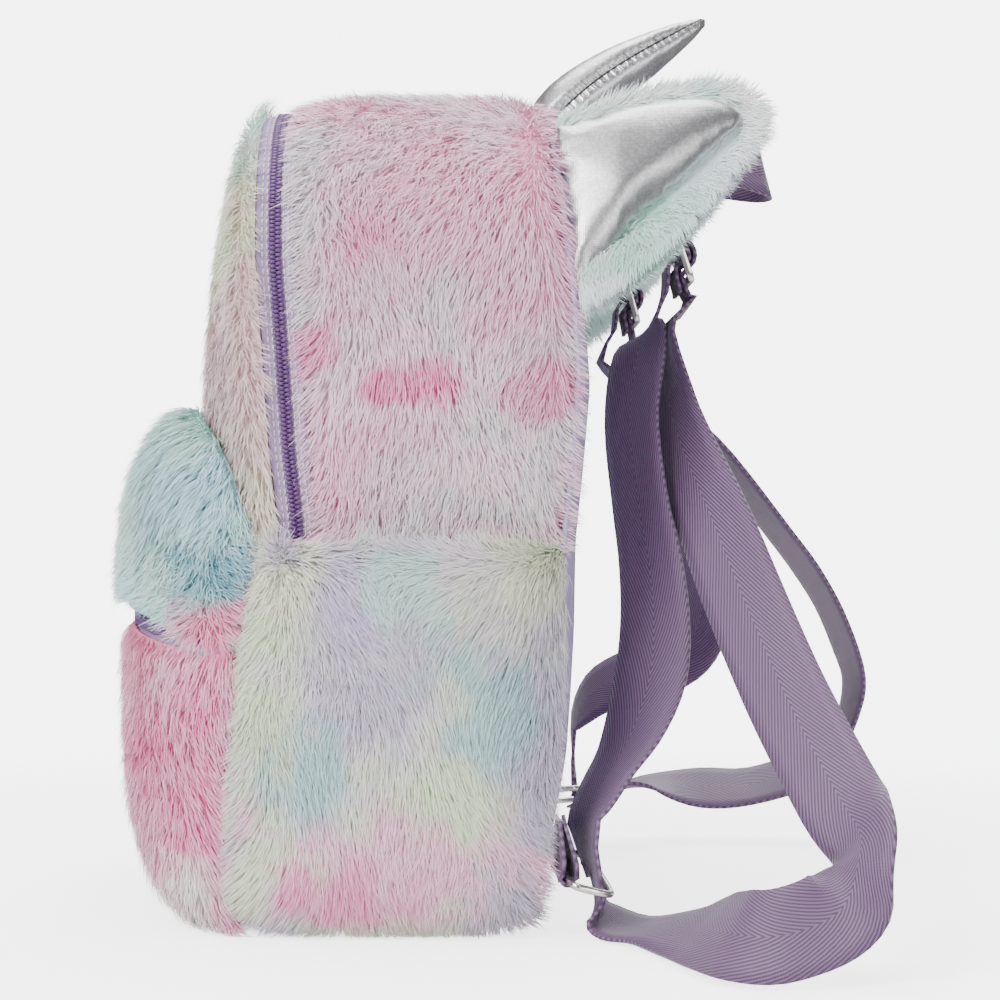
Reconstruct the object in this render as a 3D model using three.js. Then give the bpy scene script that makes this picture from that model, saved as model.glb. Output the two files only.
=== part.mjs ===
// Plush backpack with ears and a horn. Millimetres, +Z up, wearer's side +Y, front -Y.
import * as THREE from 'three';

// Driving sizes
const bagWidth = 236;
const bagHeight = 305;
const bagDepth = 110;
const topRadius = 65;
const baseRadius = 30;
const seamInset = 4;
const seamGap = 0.5;
const plushWall = 3;
const twillWall = 1.8;
const lockHeight = 3.6;
const lockShift = 5;
const lumpHeight = 1.4;
const panelBulge = 31;
const backBulge = 6;
const zipWidth = 14;
const tapeWall = 1.2;
const coilHeight = 1.3;
const coilWidth = 2.2;
const zipBody = 9;
const zipPull = 22;
const pocketHeight = 190;
const pocketDepth = 31;
const pocketWidth = 214;
const pocketZipHeight = 114;
const pocketSlot = 8;
const pocketSag = 8;
const sideMouth = 13;
const sideHeight = 141;
const earPuff = 8;
const earPlush = 9;
const hornLength = 82;
const hornThick = 28;
const webbingWidth = 30;
const webbingWall = 1.4;
const haulWidth = 22;
const wire = 3;
const ringCorner = 3.2;
const webbingPlay = 1;
const ringSpan = 15;
const sliderSpan = 20;
const sliderWall = 2.6;

// Shares along the outline: height share against depth share
const backSeam = [
  [0, 0.40], [0.1, 0.44], [0.2, 0.482], [0.35, 0.505], [0.46, 0.51], [0.55, 0.536],
  [0.65, 0.56], [0.75, 0.545], [0.87, 0.50], [1, 0.464],
];
const frontSeam = [[0, -0.527], [0.2, -0.513], [0.33, -0.483], [0.46, -0.414], [1, -0.414]];
const zipLine = [[0.4, -0.325], [0.49, -0.336], [0.57, -0.362], [0.685, -0.384], [0.79, -0.405], [1, -0.414]];

const v3 = (x, y, z) => new THREE.Vector3(x, y, z);
const mix = (a, b, t) => a + (b - a) * t;

function table(rows, at, column = 1) {
  if (at <= rows[0][0]) return rows[0][column];
  for (let i = 1; i < rows.length; i += 1) {
    const [a, b] = [rows[i - 1], rows[i]];
    if (at <= b[0]) return mix(a[column], b[column], (at - a[0]) / (b[0] - a[0]));
  }
  return rows[rows.length - 1][column];
}

// Colours
const colours = {
  plush: 0xeecfdc, front: 0xdfe3d2, pocket: 0xe7a3bd, hood: 0xb9dbe6, side: 0xdcd5dc, ear: 0xdcebe4,
  silver: 0xb9bcc0, webbing: 0x8d76a6, twill: 0xb7a4cf, zip: 0x8a6ea8, nickel: 0xb8b2a6,
};
function material(kind, roughness = 0.95, metalness = 0) {
  const color = colours[kind];
  return new THREE.MeshStandardMaterial({ color, roughness, metalness, side: THREE.FrontSide });
}

// Solids from grids of points
function toMesh(name, points, faces, mat) {
  let volume = 0;
  const n = v3(0, 0, 0);
  for (const [a, b, c] of faces) volume += points[a].dot(n.crossVectors(points[b], points[c]));
  const position = [];
  for (const [a, b, c] of faces) {
    for (const k of volume > 0 ? [a, b, c] : [a, c, b]) position.push(points[k].x, points[k].y, points[k].z);
  }
  const geometry = new THREE.BufferGeometry();
  geometry.setAttribute('position', new THREE.Float32BufferAttribute(position, 3));
  geometry.computeVertexNormals();
  const mesh = new THREE.Mesh(geometry, mat);
  mesh.name = name;
  return mesh;
}

// A run of closed rings, either joined end to start or closed at both ends. From flipFrom on, a ring's
// faces are split the other way, so that the two faces of a thin twisted band stay parallel.
function loft(name, rings, mat, ends, flipFrom = Infinity) {
  const points = rings.flat();
  const count = rings[0].length;
  const faces = [];
  const last = rings.length - (ends === 'loop' ? 0 : 1);
  for (let r = 0; r < last; r += 1) {
    for (let k = 0; k < count; k += 1) {
      const a = r * count + k;
      const b = r * count + ((k + 1) % count);
      const c = ((r + 1) % rings.length) * count + k;
      const d = ((r + 1) % rings.length) * count + ((k + 1) % count);
      if (k < flipFrom) faces.push([a, b, d], [a, d, c]);
      else faces.push([a, b, c], [b, d, c]);
    }
  }
  if (ends === 'apex') {
    const caps = [[rings[0], 0, 1], [rings[rings.length - 1], points.length - count, 0]];
    for (const [ring, base, turn] of caps) {
      const centre = ring.reduce((sum, p) => sum.add(p), v3(0, 0, 0)).multiplyScalar(1 / count);
      const tip = points.push(centre) - 1;
      for (let k = 0; k < count; k += 1) {
        const [p, q] = [base + k, base + ((k + 1) % count)];
        faces.push(turn ? [tip, q, p] : [tip, p, q]);
      }
    }
  }
  if (ends === 'flat') {
    const half = count / 2;
    for (const [base, turn] of [[0, 1], [(rings.length - 1) * count, 0]]) {
      for (let k = 0; k < half - 1; k += 1) {
        const [p, q, s, t] = [base + k, base + k + 1, base + count - 2 - k, base + count - 1 - k];
        faces.push(turn ? [p, s, q] : [p, q, s], turn ? [p, t, s] : [p, s, t]);
      }
    }
  }
  return toMesh(name, points, faces, mat);
}

// A wall between two grids of the same shape
function wall(name, outer, inner, mat) {
  return loft(name, outer.map((row, i) => [...row, ...inner[i].slice().reverse()]), mat, 'flat');
}

// Staggered locks: every other point stands out along the normal and slides along the nap
function locks(grid, closed, outward, amount, nap = v3(0, 0, -1)) {
  const count = grid[0].length;
  return grid.map((row, i) => row.map((p, k) => {
    const share = amount(i, k, p);
    if ((i + k) % 2 || share <= 0) return p.clone();
    const next = row[closed ? (k + 1) % count : Math.min(k + 1, count - 1)];
    const back = row[closed ? (k - 1 + count) % count : Math.max(k - 1, 0)];
    const up = grid[Math.min(i + 1, grid.length - 1)][k];
    const down = grid[Math.max(i - 1, 0)][k];
    const normal = v3(0, 0, 0).crossVectors(next.clone().sub(back), up.clone().sub(down)).normalize();
    if (normal.dot(outward(p)) < 0) normal.negate();
    const slide = nap.clone().addScaledVector(normal, -nap.dot(normal));
    return p.clone().addScaledVector(normal, lockHeight * share).addScaledVector(slide, lockShift * share);
  }));
}

function lumps(x, y, z) {
  const wave = Math.sin(x / 23 + z / 31) + Math.sin(y / 17 - z / 27 + 1) + Math.sin(x / 37 - y / 29 + 2);
  return lumpHeight * wave / 3;
}

// Outline of the bag seen from the front, from the middle of the base, up the +X side
const lowStep = sideHeight - 1;
function halfOutline() {
  const side = bagWidth / 2;
  const out = [];
  const baseCells = 4;
  const arcCells = 4;
  for (let k = 0; k < baseCells; k += 1) out.push([k * (side - baseRadius) / baseCells, 0, 0, -1]);
  for (let k = 0; k <= arcCells; k += 1) {
    const a = k / arcCells * Math.PI / 2;
    out.push([side - baseRadius + baseRadius * Math.sin(a), baseRadius - baseRadius * Math.cos(a),
      Math.sin(a), -Math.cos(a)]);
  }
  const rows = 6;
  for (let k = 1; k <= rows; k += 1) out.push([side, mix(baseRadius, lowStep, k / rows), 1, 0]);
  for (let k = 0; k < rows; k += 1) {
    out.push([side, mix(sideHeight, bagHeight - topRadius, k / rows), 1, 0]);
  }
  const topCells = 6;
  for (let k = 0; k <= topCells; k += 1) {
    const a = k / topCells * Math.PI / 2;
    out.push([side - topRadius + topRadius * Math.cos(a), bagHeight - topRadius + topRadius * Math.sin(a),
      Math.cos(a), Math.sin(a)]);
  }
  const flat = 3;
  for (let k = 1; k <= flat; k += 1) out.push([(side - topRadius) * (1 - k / flat), bagHeight, 0, 1]);
  return out.map(([x, z, nx, nz]) => ({ x, z, nx, nz }));
}
const half = halfOutline();
const mirrored = half.slice(1, -1).reverse().map((p) => ({ x: -p.x, z: p.z, nx: -p.nx, nz: p.nz }));
const outline = [...half, ...mirrored];
const firstZip = half.findIndex((p) => p.z >= sideHeight);
const zipped = (p) => p.z >= sideHeight;
const backY = (z) => bagDepth * table(backSeam, z / bagHeight);
const frontY = (z) => bagDepth * table(frontSeam, z / bagHeight);
const zipY = (z) => bagDepth * table(zipLine, z / bagHeight);
const gussetY = (p) => (zipped(p) ? zipY(p.z) + zipWidth / 2 + seamGap : frontY(p.z) + seamGap);
const panelY = (p) => (zipped(p) ? zipY(p.z) - zipWidth / 2 - seamGap : frontY(p.z));

function inset(p, by, y) {
  return v3(p.x - p.nx * by, y, p.z - p.nz * by);
}

// Gusset
const acrossShares = [0, 0.06, 0.15, 0.26, 0.38, 0.5, 0.62, 0.74, 0.85, 0.94, 1];
const dipShares = [1, 0.55, 0.15, 0, 0, 0, 0, 0, 0.15, 0.55, 1];
const napAcross = 0.35;
function gussetPoint(i, j, lift = 0) {
  const p = outline[i];
  const y = mix(backY(p.z), gussetY(p), acrossShares[j]);
  const flat = p.z < baseRadius ? 0 : Math.min(1, (p.z - baseRadius) / topRadius);
  const seat = Math.abs(p.x) < hornThick && j < 5 ? 0 : 1;
  const raise = seat && dipShares[j] < 0.2 ? lumps(p.x, y, p.z) * flat * (zipped(p) ? 1 : 0) : 0;
  return inset(p, seamInset * dipShares[j] - lift - raise, y);
}
function earBase(p, j) {
  return j < 2 && p.z > bagHeight * 0.7;
}
function gusset() {
  const grid = acrossShares.map((_, j) => outline.map((p, i) => gussetPoint(i, j)));
  const outward = (p) => v3(p.x, 0, p.z - bagHeight / 2);
  const outer = locks(grid, true, outward, (j, i) => {
    const p = outline[i];
    if (!zipped(p) || p.z < sideHeight + lockShift * 2 || earBase(p, j)) return 0;
    if (Math.abs(p.x) < hornThick && j < 5) return 0;
    return Math.max(0, 1 - dipShares[j] * 1.6);
  }, v3(0, -napAcross, -1));
  const innerColumns = [10, 7, 3, 0];
  const inner = innerColumns.map((j) => outline.map((p) => inset(
    p, seamInset * dipShares[j] + plushWall + (j % 10 ? lumpHeight : 0),
    mix(backY(p.z), gussetY(p), acrossShares[j]),
  )));
  return loft('gusset', [...outer, ...inner], material('plush'), 'loop');
}

// Main zip: two tapes, each with a row of coil along its inner edge
function mainTape(name, side) {
  const run = [];
  for (let i = firstZip; i <= outline.length - firstZip; i += 1) run.push(i);
  const halfTape = zipWidth / 2 - seamGap / 2;
  const section = [
    [0, 0], [halfTape, 0], [halfTape, tapeWall], [coilWidth, tapeWall], [coilWidth, tapeWall + coilHeight],
    [0, tapeWall + coilHeight],
  ];
  const rings = run.map((i, k) => {
    const p = outline[i];
    const end = k === 0 || k === run.length - 1 ? seamGap : 0;
    return section.map(([across, up]) => {
      const y = zipY(p.z) + side * (seamGap / 2 + across);
      return inset(p, seamInset + tapeWall - up, y).setZ(p.z + end - p.nz * (seamInset + tapeWall - up));
    });
  });
  return loft(name, rings, material('zip', 0.6), 'flat');
}

// Front panel, a plush dome inside the zip
const domeShares = [1, 0.985, 0.95, 0.89, 0.81, 0.71, 0.59, 0.45, 0.3, 0.14];
const centreZ = 0.48;
const domePower = 2.6;
const domeRound = 0.625;
function domePoint(p, share, sink, lift) {
  const rimY = panelY(p);
  const rise = Math.pow(1 - Math.pow(share, domePower), domeRound);
  const y = mix(rimY, -bagDepth / 2 - panelBulge + seamInset, rise) + lift;
  const cz = bagHeight * centreZ;
  const x = (p.x - p.nx * sink) * share;
  const z = cz + (p.z - p.nz * sink - cz) * share;
  return v3(x, y - (share < 0.9 ? lumps(x, y, z) : 0), z);
}
const domeGrid = domeShares.map((share) => outline.map((p) => domePoint(p, share, seamInset, 0)));
const domeTip = domeGrid[domeGrid.length - 1].reduce((sum, p) => sum.add(p), v3(0, 0, 0))
  .multiplyScalar(1 / outline.length);
function frontPanel() {
  const above = pocketHeight + lockShift * 3;
  const outer = locks(domeGrid, true, () => v3(0, -1, 0), (j, i, p) => (
    j < 1 || j > 8 || p.z < above ? 0 : Math.min(1, j * 0.5)
  ), v3(0, 0, -1));
  const innerShares = [0.3, 0.72, 0.93, 1];
  const inner = innerShares.map((share) => outline.map((p) => domePoint(
    p, share, seamInset + plushWall, share === 1 ? 0 : plushWall,
  )));
  return loft('front_panel', [...inner, ...outer], material('front'), 'apex');
}

// Where a line along Y meets the front panel, and the way that it faces there
function onPanel(x, z) {
  const hit = { y: frontY(z), n: v3(0, -1, 0) };
  const count = outline.length;
  let best = -Infinity;
  const tri = (a, b, c) => {
    const det = (b.z - c.z) * (a.x - c.x) + (c.x - b.x) * (a.z - c.z);
    if (Math.abs(det) < 1e-9) return;
    const u = ((b.z - c.z) * (x - c.x) + (c.x - b.x) * (z - c.z)) / det;
    const v = ((c.z - a.z) * (x - c.x) + (a.x - c.x) * (z - c.z)) / det;
    const inside = Math.min(u, v, 1 - u - v);
    if (inside > best && inside > -0.02) {
      best = Math.min(inside, 0);
      hit.y = a.y * u + b.y * v + c.y * (1 - u - v);
      hit.n = v3(0, 0, 0).crossVectors(b.clone().sub(a), c.clone().sub(a)).normalize();
      if (hit.n.y > 0) hit.n.negate();
    }
  };
  for (let j = 0; j < domeGrid.length - 1; j += 1) {
    for (let i = 0; i < count; i += 1) {
      const n = (i + 1) % count;
      tri(domeGrid[j][i], domeGrid[j][n], domeGrid[j + 1][n]);
      tri(domeGrid[j][i], domeGrid[j + 1][n], domeGrid[j + 1][i]);
    }
  }
  const last = domeGrid[domeGrid.length - 1];
  for (let i = 0; i < count; i += 1) tri(last[i], last[(i + 1) % count], domeTip);
  return hit;
}

// The back panel's outer face at a place seen from behind
function onBack(x, z) {
  const cz = bagHeight * centreZ;
  const [dx, dz] = [x, z - cz];
  let share = 1;
  for (let i = 0; i < outline.length; i += 1) {
    const [p, q] = [inset(outline[i], seamInset, 0), inset(outline[(i + 1) % outline.length], seamInset, 0)];
    const cross = (q.x - p.x) * dz - (q.z - p.z) * dx;
    if (Math.abs(cross) < 1e-9) continue;
    const along = ((cz - p.z) * dx - (0 - p.x) * dz) / -cross;
    const reach = ((0 - p.x) * (q.z - p.z) - (cz - p.z) * (q.x - p.x)) / -cross;
    if (along >= 0 && along <= 1 && reach > 0) share = Math.min(1, 1 / reach);
  }
  return backY(z) + seamGap + twillWall + backBulge * (1 - Math.pow(share, 3));
}

// Back panel
function backPanel() {
  const shares = [1, 0.74, 0.34];
  const cz = bagHeight * centreZ;
  const ring = (share, lift, sink) => outline.map((p) => {
    const rise = 1 - Math.pow(share, 3);
    return v3((p.x - p.nx * sink) * share, backY(p.z) + seamGap + rise * backBulge + lift,
      cz + (p.z - p.nz * sink - cz) * share);
  });
  const outer = shares.map((share) => ring(share, twillWall, seamInset));
  const inner = shares.slice().reverse().map((share) => ring(share, 0, seamInset));
  return loft('back_panel', [...inner, ...outer], material('twill', 0.7), 'apex');
}

// Front pocket: levels up the bag, each a half oval standing out from the front panel
const pocketLevels = [
  // share of pocket height, share of half width, share of depth
  [0.008, 0.90, 0.04], [0.012, 0.935, 0.5], [0.03, 0.96, 0.86], [0.09, 0.99, 1.0], [0.22, 1.0, 1.05],
  [0.36, 1.0, 1.04], [0.48, 1.0, 1.02], [0.6, 1.0, 1.0], [0.72, 0.995, 0.98], [0.81, 0.975, 0.90],
  [0.88, 0.93, 0.76], [0.94, 0.85, 0.56], [0.975, 0.74, 0.36], [0.993, 0.64, 0.16], [1.0, 0.6, 0.05],
];
const roundX = 0.72;
const roundY = 0.62;
function pocketPoint(share, turn, sink, sag) {
  const t = turn * Math.PI / 2;
  const halfWidth = pocketWidth / 2 * table(pocketLevels, share, 1) - sink;
  const depth = Math.max(pocketDepth * table(pocketLevels, share, 2) - sink, 0.3);
  const x = halfWidth * Math.sign(t) * Math.pow(Math.abs(Math.sin(t)), roundX);
  const z = pocketHeight * share - sag * Math.pow(Math.sin(t), 2);
  const hit = onPanel(x, z);
  const stand = depth * Math.pow(Math.cos(t), roundY);
  const wave = stand > plushWall ? lumps(x, 0, z) : 0;
  return v3(x, hit.y - stand - wave, z).addScaledVector(hit.n, seamGap * 2.4);
}
const turns = (count) => Array.from({ length: count + 1 }, (_, k) => (k / count) * 2 - 1);
function spread(shares, columns, sink, sag) {
  return shares.map((share) => turns(columns).map((turn) => pocketPoint(share, turn, sink, sag(share))));
}
const zipShare = pocketZipHeight / pocketHeight;
const slotShare = pocketSlot / 2 / pocketHeight;
function pocketFront() {
  const top = zipShare - slotShare;
  const shares = [0.008, 0.014, 0.03, 0.09, 0.17, 0.25, 0.33, 0.41, 0.49, top];
  const sag = (share) => pocketSag * Math.max(0, share / top);
  const grid = spread(shares, 16, 0, sag);
  const outer = locks(grid, false, () => v3(0, -1, 0), (r, k) => (
    r < 3 || r === shares.length - 1 || k < 1 || k > 15 ? 0 : 1));
  const inner = spread(shares.map((s) => Math.min(s + (s < 0.1 ? 0.016 : 0), top)), 16, plushWall, sag);
  return wall('pocket_front', outer, inner, material('pocket'));
}
function snout() {
  const low = zipShare + slotShare;
  const shares = [low, 0.67, 0.73, 0.79, 0.85, 0.9, 0.945, 0.975, 0.993, 1.0];
  const topFade = 0.98;
  const sag = (share) => pocketSag * Math.max(0, 1 - (share - low) / (0.9 - low));
  const grid = spread(shares, 16, -1.5, sag);
  const outer = locks(grid, false, () => v3(0, -1, 0), (r, k) => (
    r < 1 || shares[r] > topFade || k < 1 || k > 15 ? 0 : 1.3));
  const inner = spread(shares.map((s) => (s > 0.93 ? s - 0.016 : s)), 16, plushWall, sag);
  return wall('snout', outer, inner, material('hood'));
}
function pocketZip() {
  const reach = 0.86;
  const tall = pocketSlot / 2 + coilWidth;
  const rows = [-tall, -coilWidth / 2, -coilWidth / 2, coilWidth / 2, coilWidth / 2, tall];
  const lifts = [0, 0, coilHeight, coilHeight, 0, 0];
  const section = (turn, sink, raised) => rows.map((dz, r) => pocketPoint(
    zipShare + dz / pocketHeight, turn * reach, sink - (raised ? lifts[r] : 0), pocketSag,
  ));
  const outer = turns(16).map((turn) => section(turn, plushWall + seamGap, true));
  const inner = turns(16).map((turn) => section(turn, plushWall + seamGap + tapeWall, false));
  return wall('pocket_zip', outer, inner, material('zip', 0.6));
}

// Side pockets: they lie on the gusset and stand off it at the mouth
function sidePocket(name, side) {
  const start = 6;
  const end = firstZip - 1;
  const lift = (i, j, extra) => {
    const z = outline[i].z;
    const rise = Math.pow(Math.min(1, z / lowStep), 0.8);
    const arch = Math.pow(Math.max(0, 1 - Math.pow(Math.abs(2 * acrossShares[j] - 1), 3)), 0.8);
    return seamGap + rise * arch * sideMouth + extra;
  };
  const grids = [0, plushWall].map((extra) => {
    const grid = [];
    for (let i = start; i <= end; i += 1) {
      grid.push(acrossShares.map((_, j) => {
        const p = gussetPoint(i, j, lift(i, j, extra));
        return v3(p.x * side, p.y, p.z);
      }));
    }
    return grid;
  });
  const outer = locks(grids[1], false, () => v3(side, 0, 0), (r, j) => (
    r < 1 || r > end - start - 1 || j < 1 || j > 9 ? 0 : 1));
  return wall(name, outer, grids[0], material('side'));
}

// Ears: the rows run from the seam to the tip
const earRows = [
  // upper edge as shares of the bag's depth and height, lower edge likewise, then the thickness share
  [0.520, 0.953, 0.560, 0.765, 0.35], [0.590, 0.960, 0.615, 0.778, 0.75], [0.69, 0.972, 0.690, 0.808, 1.0],
  [0.80, 0.983, 0.765, 0.842, 1.0], [0.90, 0.988, 0.850, 0.868, 0.95], [0.99, 0.988, 0.935, 0.896, 0.85],
  [1.06, 0.980, 1.01, 0.924, 0.65], [1.105, 0.964, 1.085, 0.948, 0.35],
];
const plushRows = [
  [0.525, 0.960, 0.555, 0.745, 0.4], [0.590, 0.972, 0.625, 0.752, 0.8], [0.69, 0.986, 0.715, 0.770, 1.0],
  [0.80, 0.998, 0.810, 0.800, 1.0], [0.91, 1.004, 0.905, 0.835, 1.0], [1.01, 1.006, 1.000, 0.875, 0.9],
  [1.10, 1.002, 1.090, 0.915, 0.75], [1.175, 0.985, 1.170, 0.950, 0.4],
];
const earLean = 0.385;
const earFoot = 0.741;
function earPoint(side, y, z, out) {
  const level = z - bagHeight * earFoot;
  const slope = Math.hypot(1, earLean);
  const x = bagWidth / 2 - seamInset / 2 - earLean * level + out / slope;
  return v3(side * x, y, z + out * earLean / slope);
}
function earPad(name, side, rows, base, puff, kind, plush) {
  const columns = 8;
  const steps = 10;
  const outer = [];
  const inner = [];
  for (let r = 0; r <= steps; r += 1) {
    const f = r / steps * (rows.length - 1);
    const k = Math.min(Math.floor(f), rows.length - 2);
    const row = rows[k].map((value, c) => mix(value, rows[k + 1][c], f - k));
    const line = (out, rounded) => Array.from({ length: columns + 1 }, (_, c) => {
      const t = c / columns;
      const round = Math.pow(Math.max(0, 1 - Math.pow(2 * t - 1, 2)), 0.55);
      const z = bagHeight * mix(row[1], row[3], t);
      const stand = base + out * (rounded ? 0.18 + 0.82 * round * row[4] : 1);
      const spot = earPoint(1, 0, z, stand);
      const seat = onBack(spot.x, spot.z) + seamGap;
      const y = r ? Math.max(bagDepth * mix(row[0], row[2], t), seat + seamGap) : seat;
      return earPoint(side, y, z, stand);
    });
    outer.push(line(puff, true));
    inner.push(line(0, false));
  }
  const skin = plush ? locks(outer, false, () => v3(side * Math.sign(puff), 0, 0), (r, c) => (
    r < 1 || r > steps - 1 ? 0 : 1), v3(0, 0.8, -0.5)) : outer;
  return wall(name, skin, inner, plush ? material(kind) : material(kind, 0.35, 0.9));
}

// Horn: rings along a bowed line, oval at the seam and round above it
const hornRows = [
  // share of length, lean of the ring in degrees, half thickness share, half width share
  [0, 36, 0.62, 1.05], [0.08, 42, 0.84, 1.05], [0.18, 46, 0.92, 1.0], [0.32, 50, 0.88, 0.9],
  [0.48, 56, 0.78, 0.78], [0.64, 59, 0.65, 0.64], [0.8, 60, 0.46, 0.46], [0.92, 60, 0.30, 0.30],
  [1, 60, 0.14, 0.14],
];
function horn() {
  const rings = [];
  const centre = v3(0, backY(bagHeight) + seamGap * 2, bagHeight - seamInset * 0.58);
  const columns = 16;
  const steps = 10;
  let walked = 0;
  for (let r = 0; r <= steps; r += 1) {
    const share = r / steps;
    const lean = table(hornRows, share, 1) * Math.PI / 180;
    const along = v3(0, Math.sin(lean), Math.cos(lean));
    centre.addScaledVector(along, hornLength * (share - walked));
    walked = share;
    const across = v3(0, Math.cos(lean), -Math.sin(lean));
    const deep = hornThick / 2 * table(hornRows, share, 2);
    const wide = hornThick / 2 * table(hornRows, share, 3);
    rings.push(Array.from({ length: columns }, (_, k) => {
      const a = k / columns * Math.PI * 2;
      return centre.clone().addScaledVector(across, deep * Math.sin(a)).add(v3(wide * Math.cos(a), 0, 0));
    }));
  }
  return loft('horn', rings, material('silver', 0.35, 0.9), 'apex');
}

// Ribbons: stations with a centre and a width direction
function smooth(rows) {
  const out = [];
  for (let i = 0; i < rows.length; i += 1) {
    const [a, b] = [rows[Math.max(i - 1, 0)], rows[i]];
    const c = rows[Math.min(i + 1, rows.length - 1)];
    const d = rows[Math.min(i + 2, rows.length - 1)];
    const steps = i === rows.length - 1 ? 1 : b.steps;
    for (let k = 0; k < steps; k += 1) {
      const t = k / steps;
      const spline = (p, q, r, s) => 0.5 * (2 * q + (r - p) * t + (2 * p - 5 * q + 4 * r - s) * t * t
        + (3 * q - p - 3 * r + s) * t * t * t);
      const at = (key, axis) => (steps === 1 ? b[key][axis]
        : spline(a[key][axis], b[key][axis], c[key][axis], d[key][axis]));
      const vector = (key) => v3(at(key, 'x'), at(key, 'y'), at(key, 'z'));
      out.push({ p: vector('p'), w: vector('w') });
    }
  }
  return out;
}
function ribbon(name, stations, width, thick, mat) {
  const rings = stations.map((s, i) => {
    const back = s.p.clone().sub(stations[Math.max(i - 1, 0)].p).normalize();
    const next = stations[Math.min(i + 1, stations.length - 1)].p.clone().sub(s.p).normalize();
    const along = back.clone().add(next).normalize();
    const bend = Math.max(0.7, Math.sqrt(Math.max(0, (1 + back.dot(next)) / 2)) || 1);
    const stretch = i === 0 || i === stations.length - 1 ? 1 : 1 / bend;
    const normal = v3(0, 0, 0).crossVectors(along, s.w).normalize();
    const across = v3(0, 0, 0).crossVectors(normal, along).normalize();
    const corner = (a, b) => s.p.clone().addScaledVector(across, a * width / 2)
      .addScaledVector(normal, b * thick / 2 * stretch);
    return [corner(-1, 1), corner(1, 1), corner(1, -1), corner(-1, -1)];
  });
  return loft(name, rings, mat, 'flat', rings[0].length / 2);
}

// Webbing sliders: a frame with a centre bar. Along is up the strap, away is off the bag.
const frames = {
  right: {
    centre: v3(0.169 * bagWidth, 0.946 * bagDepth, 0.818 * bagHeight),
    width: v3(1, 0, 0),
    along: v3(0, -0.32, 0.947),
  },
  left: {
    centre: v3(-0.169 * bagWidth, 0.808 * bagDepth, 0.788 * bagHeight),
    width: v3(1, 0, 0),
    along: v3(0, -0.28, 0.96),
  },
};
function inFrame(frame, along, away, across = 0) {
  const up = frame.along.clone().normalize();
  const out = v3(0, 0, 0).crossVectors(up, frame.width).normalize();
  return frame.centre.clone().addScaledVector(up, along).addScaledVector(out, away)
    .addScaledVector(frame.width, across);
}
function roundRect(w, h, r) {
  const points = [];
  const steps = 3;
  for (const [x, y, turn] of [[1, -1, -1], [1, 1, 0], [-1, 1, 1], [-1, -1, 2]]) {
    for (let k = 0; k <= steps; k += 1) {
      const a = (turn + k / steps) * Math.PI / 2;
      points.push(new THREE.Vector2(x * (w - r) + r * Math.cos(a), y * (h - r) + r * Math.sin(a)));
    }
  }
  return points;
}
const frameCorner = 3.6;
const slotLength = webbingWidth + webbingPlay * 2;
const sliderWidth = slotLength + wire * 2;
const ringLength = webbingWidth + webbingPlay * 2 + ringCorner * 2;
function slider(name, frame) {
  const w = sliderWidth / 2;
  const h = sliderSpan / 2 + wire / 2;
  const shape = new THREE.Shape(roundRect(w, h, frameCorner));
  for (const sign of [1, -1]) {
    const low = sign > 0 ? wire / 2 : -h + wire;
    const high = sign > 0 ? h - wire : -wire / 2;
    const end = slotLength / 2;
    shape.holes.push(new THREE.Path([
      new THREE.Vector2(-end, low), new THREE.Vector2(-end, high),
      new THREE.Vector2(end, high), new THREE.Vector2(end, low),
    ]));
  }
  const cut = { depth: sliderWall, bevelEnabled: false, curveSegments: 3 };
  const geometry = new THREE.ExtrudeGeometry(shape, cut);
  geometry.translate(0, 0, -sliderWall / 2);
  const up = frame.along.clone().normalize();
  const out = v3(0, 0, 0).crossVectors(frame.width, up).normalize();
  geometry.applyMatrix4(new THREE.Matrix4().makeBasis(frame.width, up, out).setPosition(frame.centre));
  const mesh = new THREE.Mesh(geometry, material('nickel', 0.3, 1));
  mesh.name = name;
  return mesh;
}

// Zip sliders: a body over the coil and a pull, cut from one outline
function zipSlider(name, along, across, out, seat, pull) {
  const [body, high, neck] = [zipBody / 2, zipBody * 0.36, zipBody * 0.2];
  const outlinePoints = [
    [-body, -high], [body, -high], [body, -neck], [body + pull * 0.6, -neck], [body + pull * 0.68, -high * 0.8],
    [body + pull, -high * 0.7], [body + pull, high * 0.7], [body + pull * 0.68, high * 0.8],
    [body + pull * 0.6, neck], [body, neck], [body, high], [-body, high],
  ].map(([x, y]) => new THREE.Vector2(x, y));
  const shape = new THREE.Shape(outlinePoints);
  const geometry = new THREE.ExtrudeGeometry(shape, { depth: zipBody / 4, bevelEnabled: false });
  geometry.applyMatrix4(new THREE.Matrix4().makeBasis(along, across, out).setPosition(seat));
  const mesh = new THREE.Mesh(geometry, material('nickel', 0.3, 1));
  mesh.name = name;
  return mesh;
}
function mainSlider() {
  const z = sideHeight + zipBody * 3.2;
  const x = -(bagWidth / 2 - seamInset + coilHeight + seamGap);
  return zipSlider('zip_slider_main', v3(0, 0, -1), v3(0, -1, 0), v3(-1, 0, 0), v3(x, zipY(z), z), zipPull);
}
function pocketSlider() {
  const at = (turn) => pocketPoint(zipShare, turn, plushWall, pocketSag);
  const seat = at(-0.5);
  const along = at(-0.38).sub(seat).normalize();
  const out = v3(0, 0, 0).crossVectors(along, v3(0, 0, 1)).normalize();
  const across = v3(0, 0, 0).crossVectors(out, along);
  seat.addScaledVector(out, coilHeight + seamGap * 2);
  return zipSlider('zip_slider_pocket', along, across, out, seat, zipPull * 0.7);
}

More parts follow.
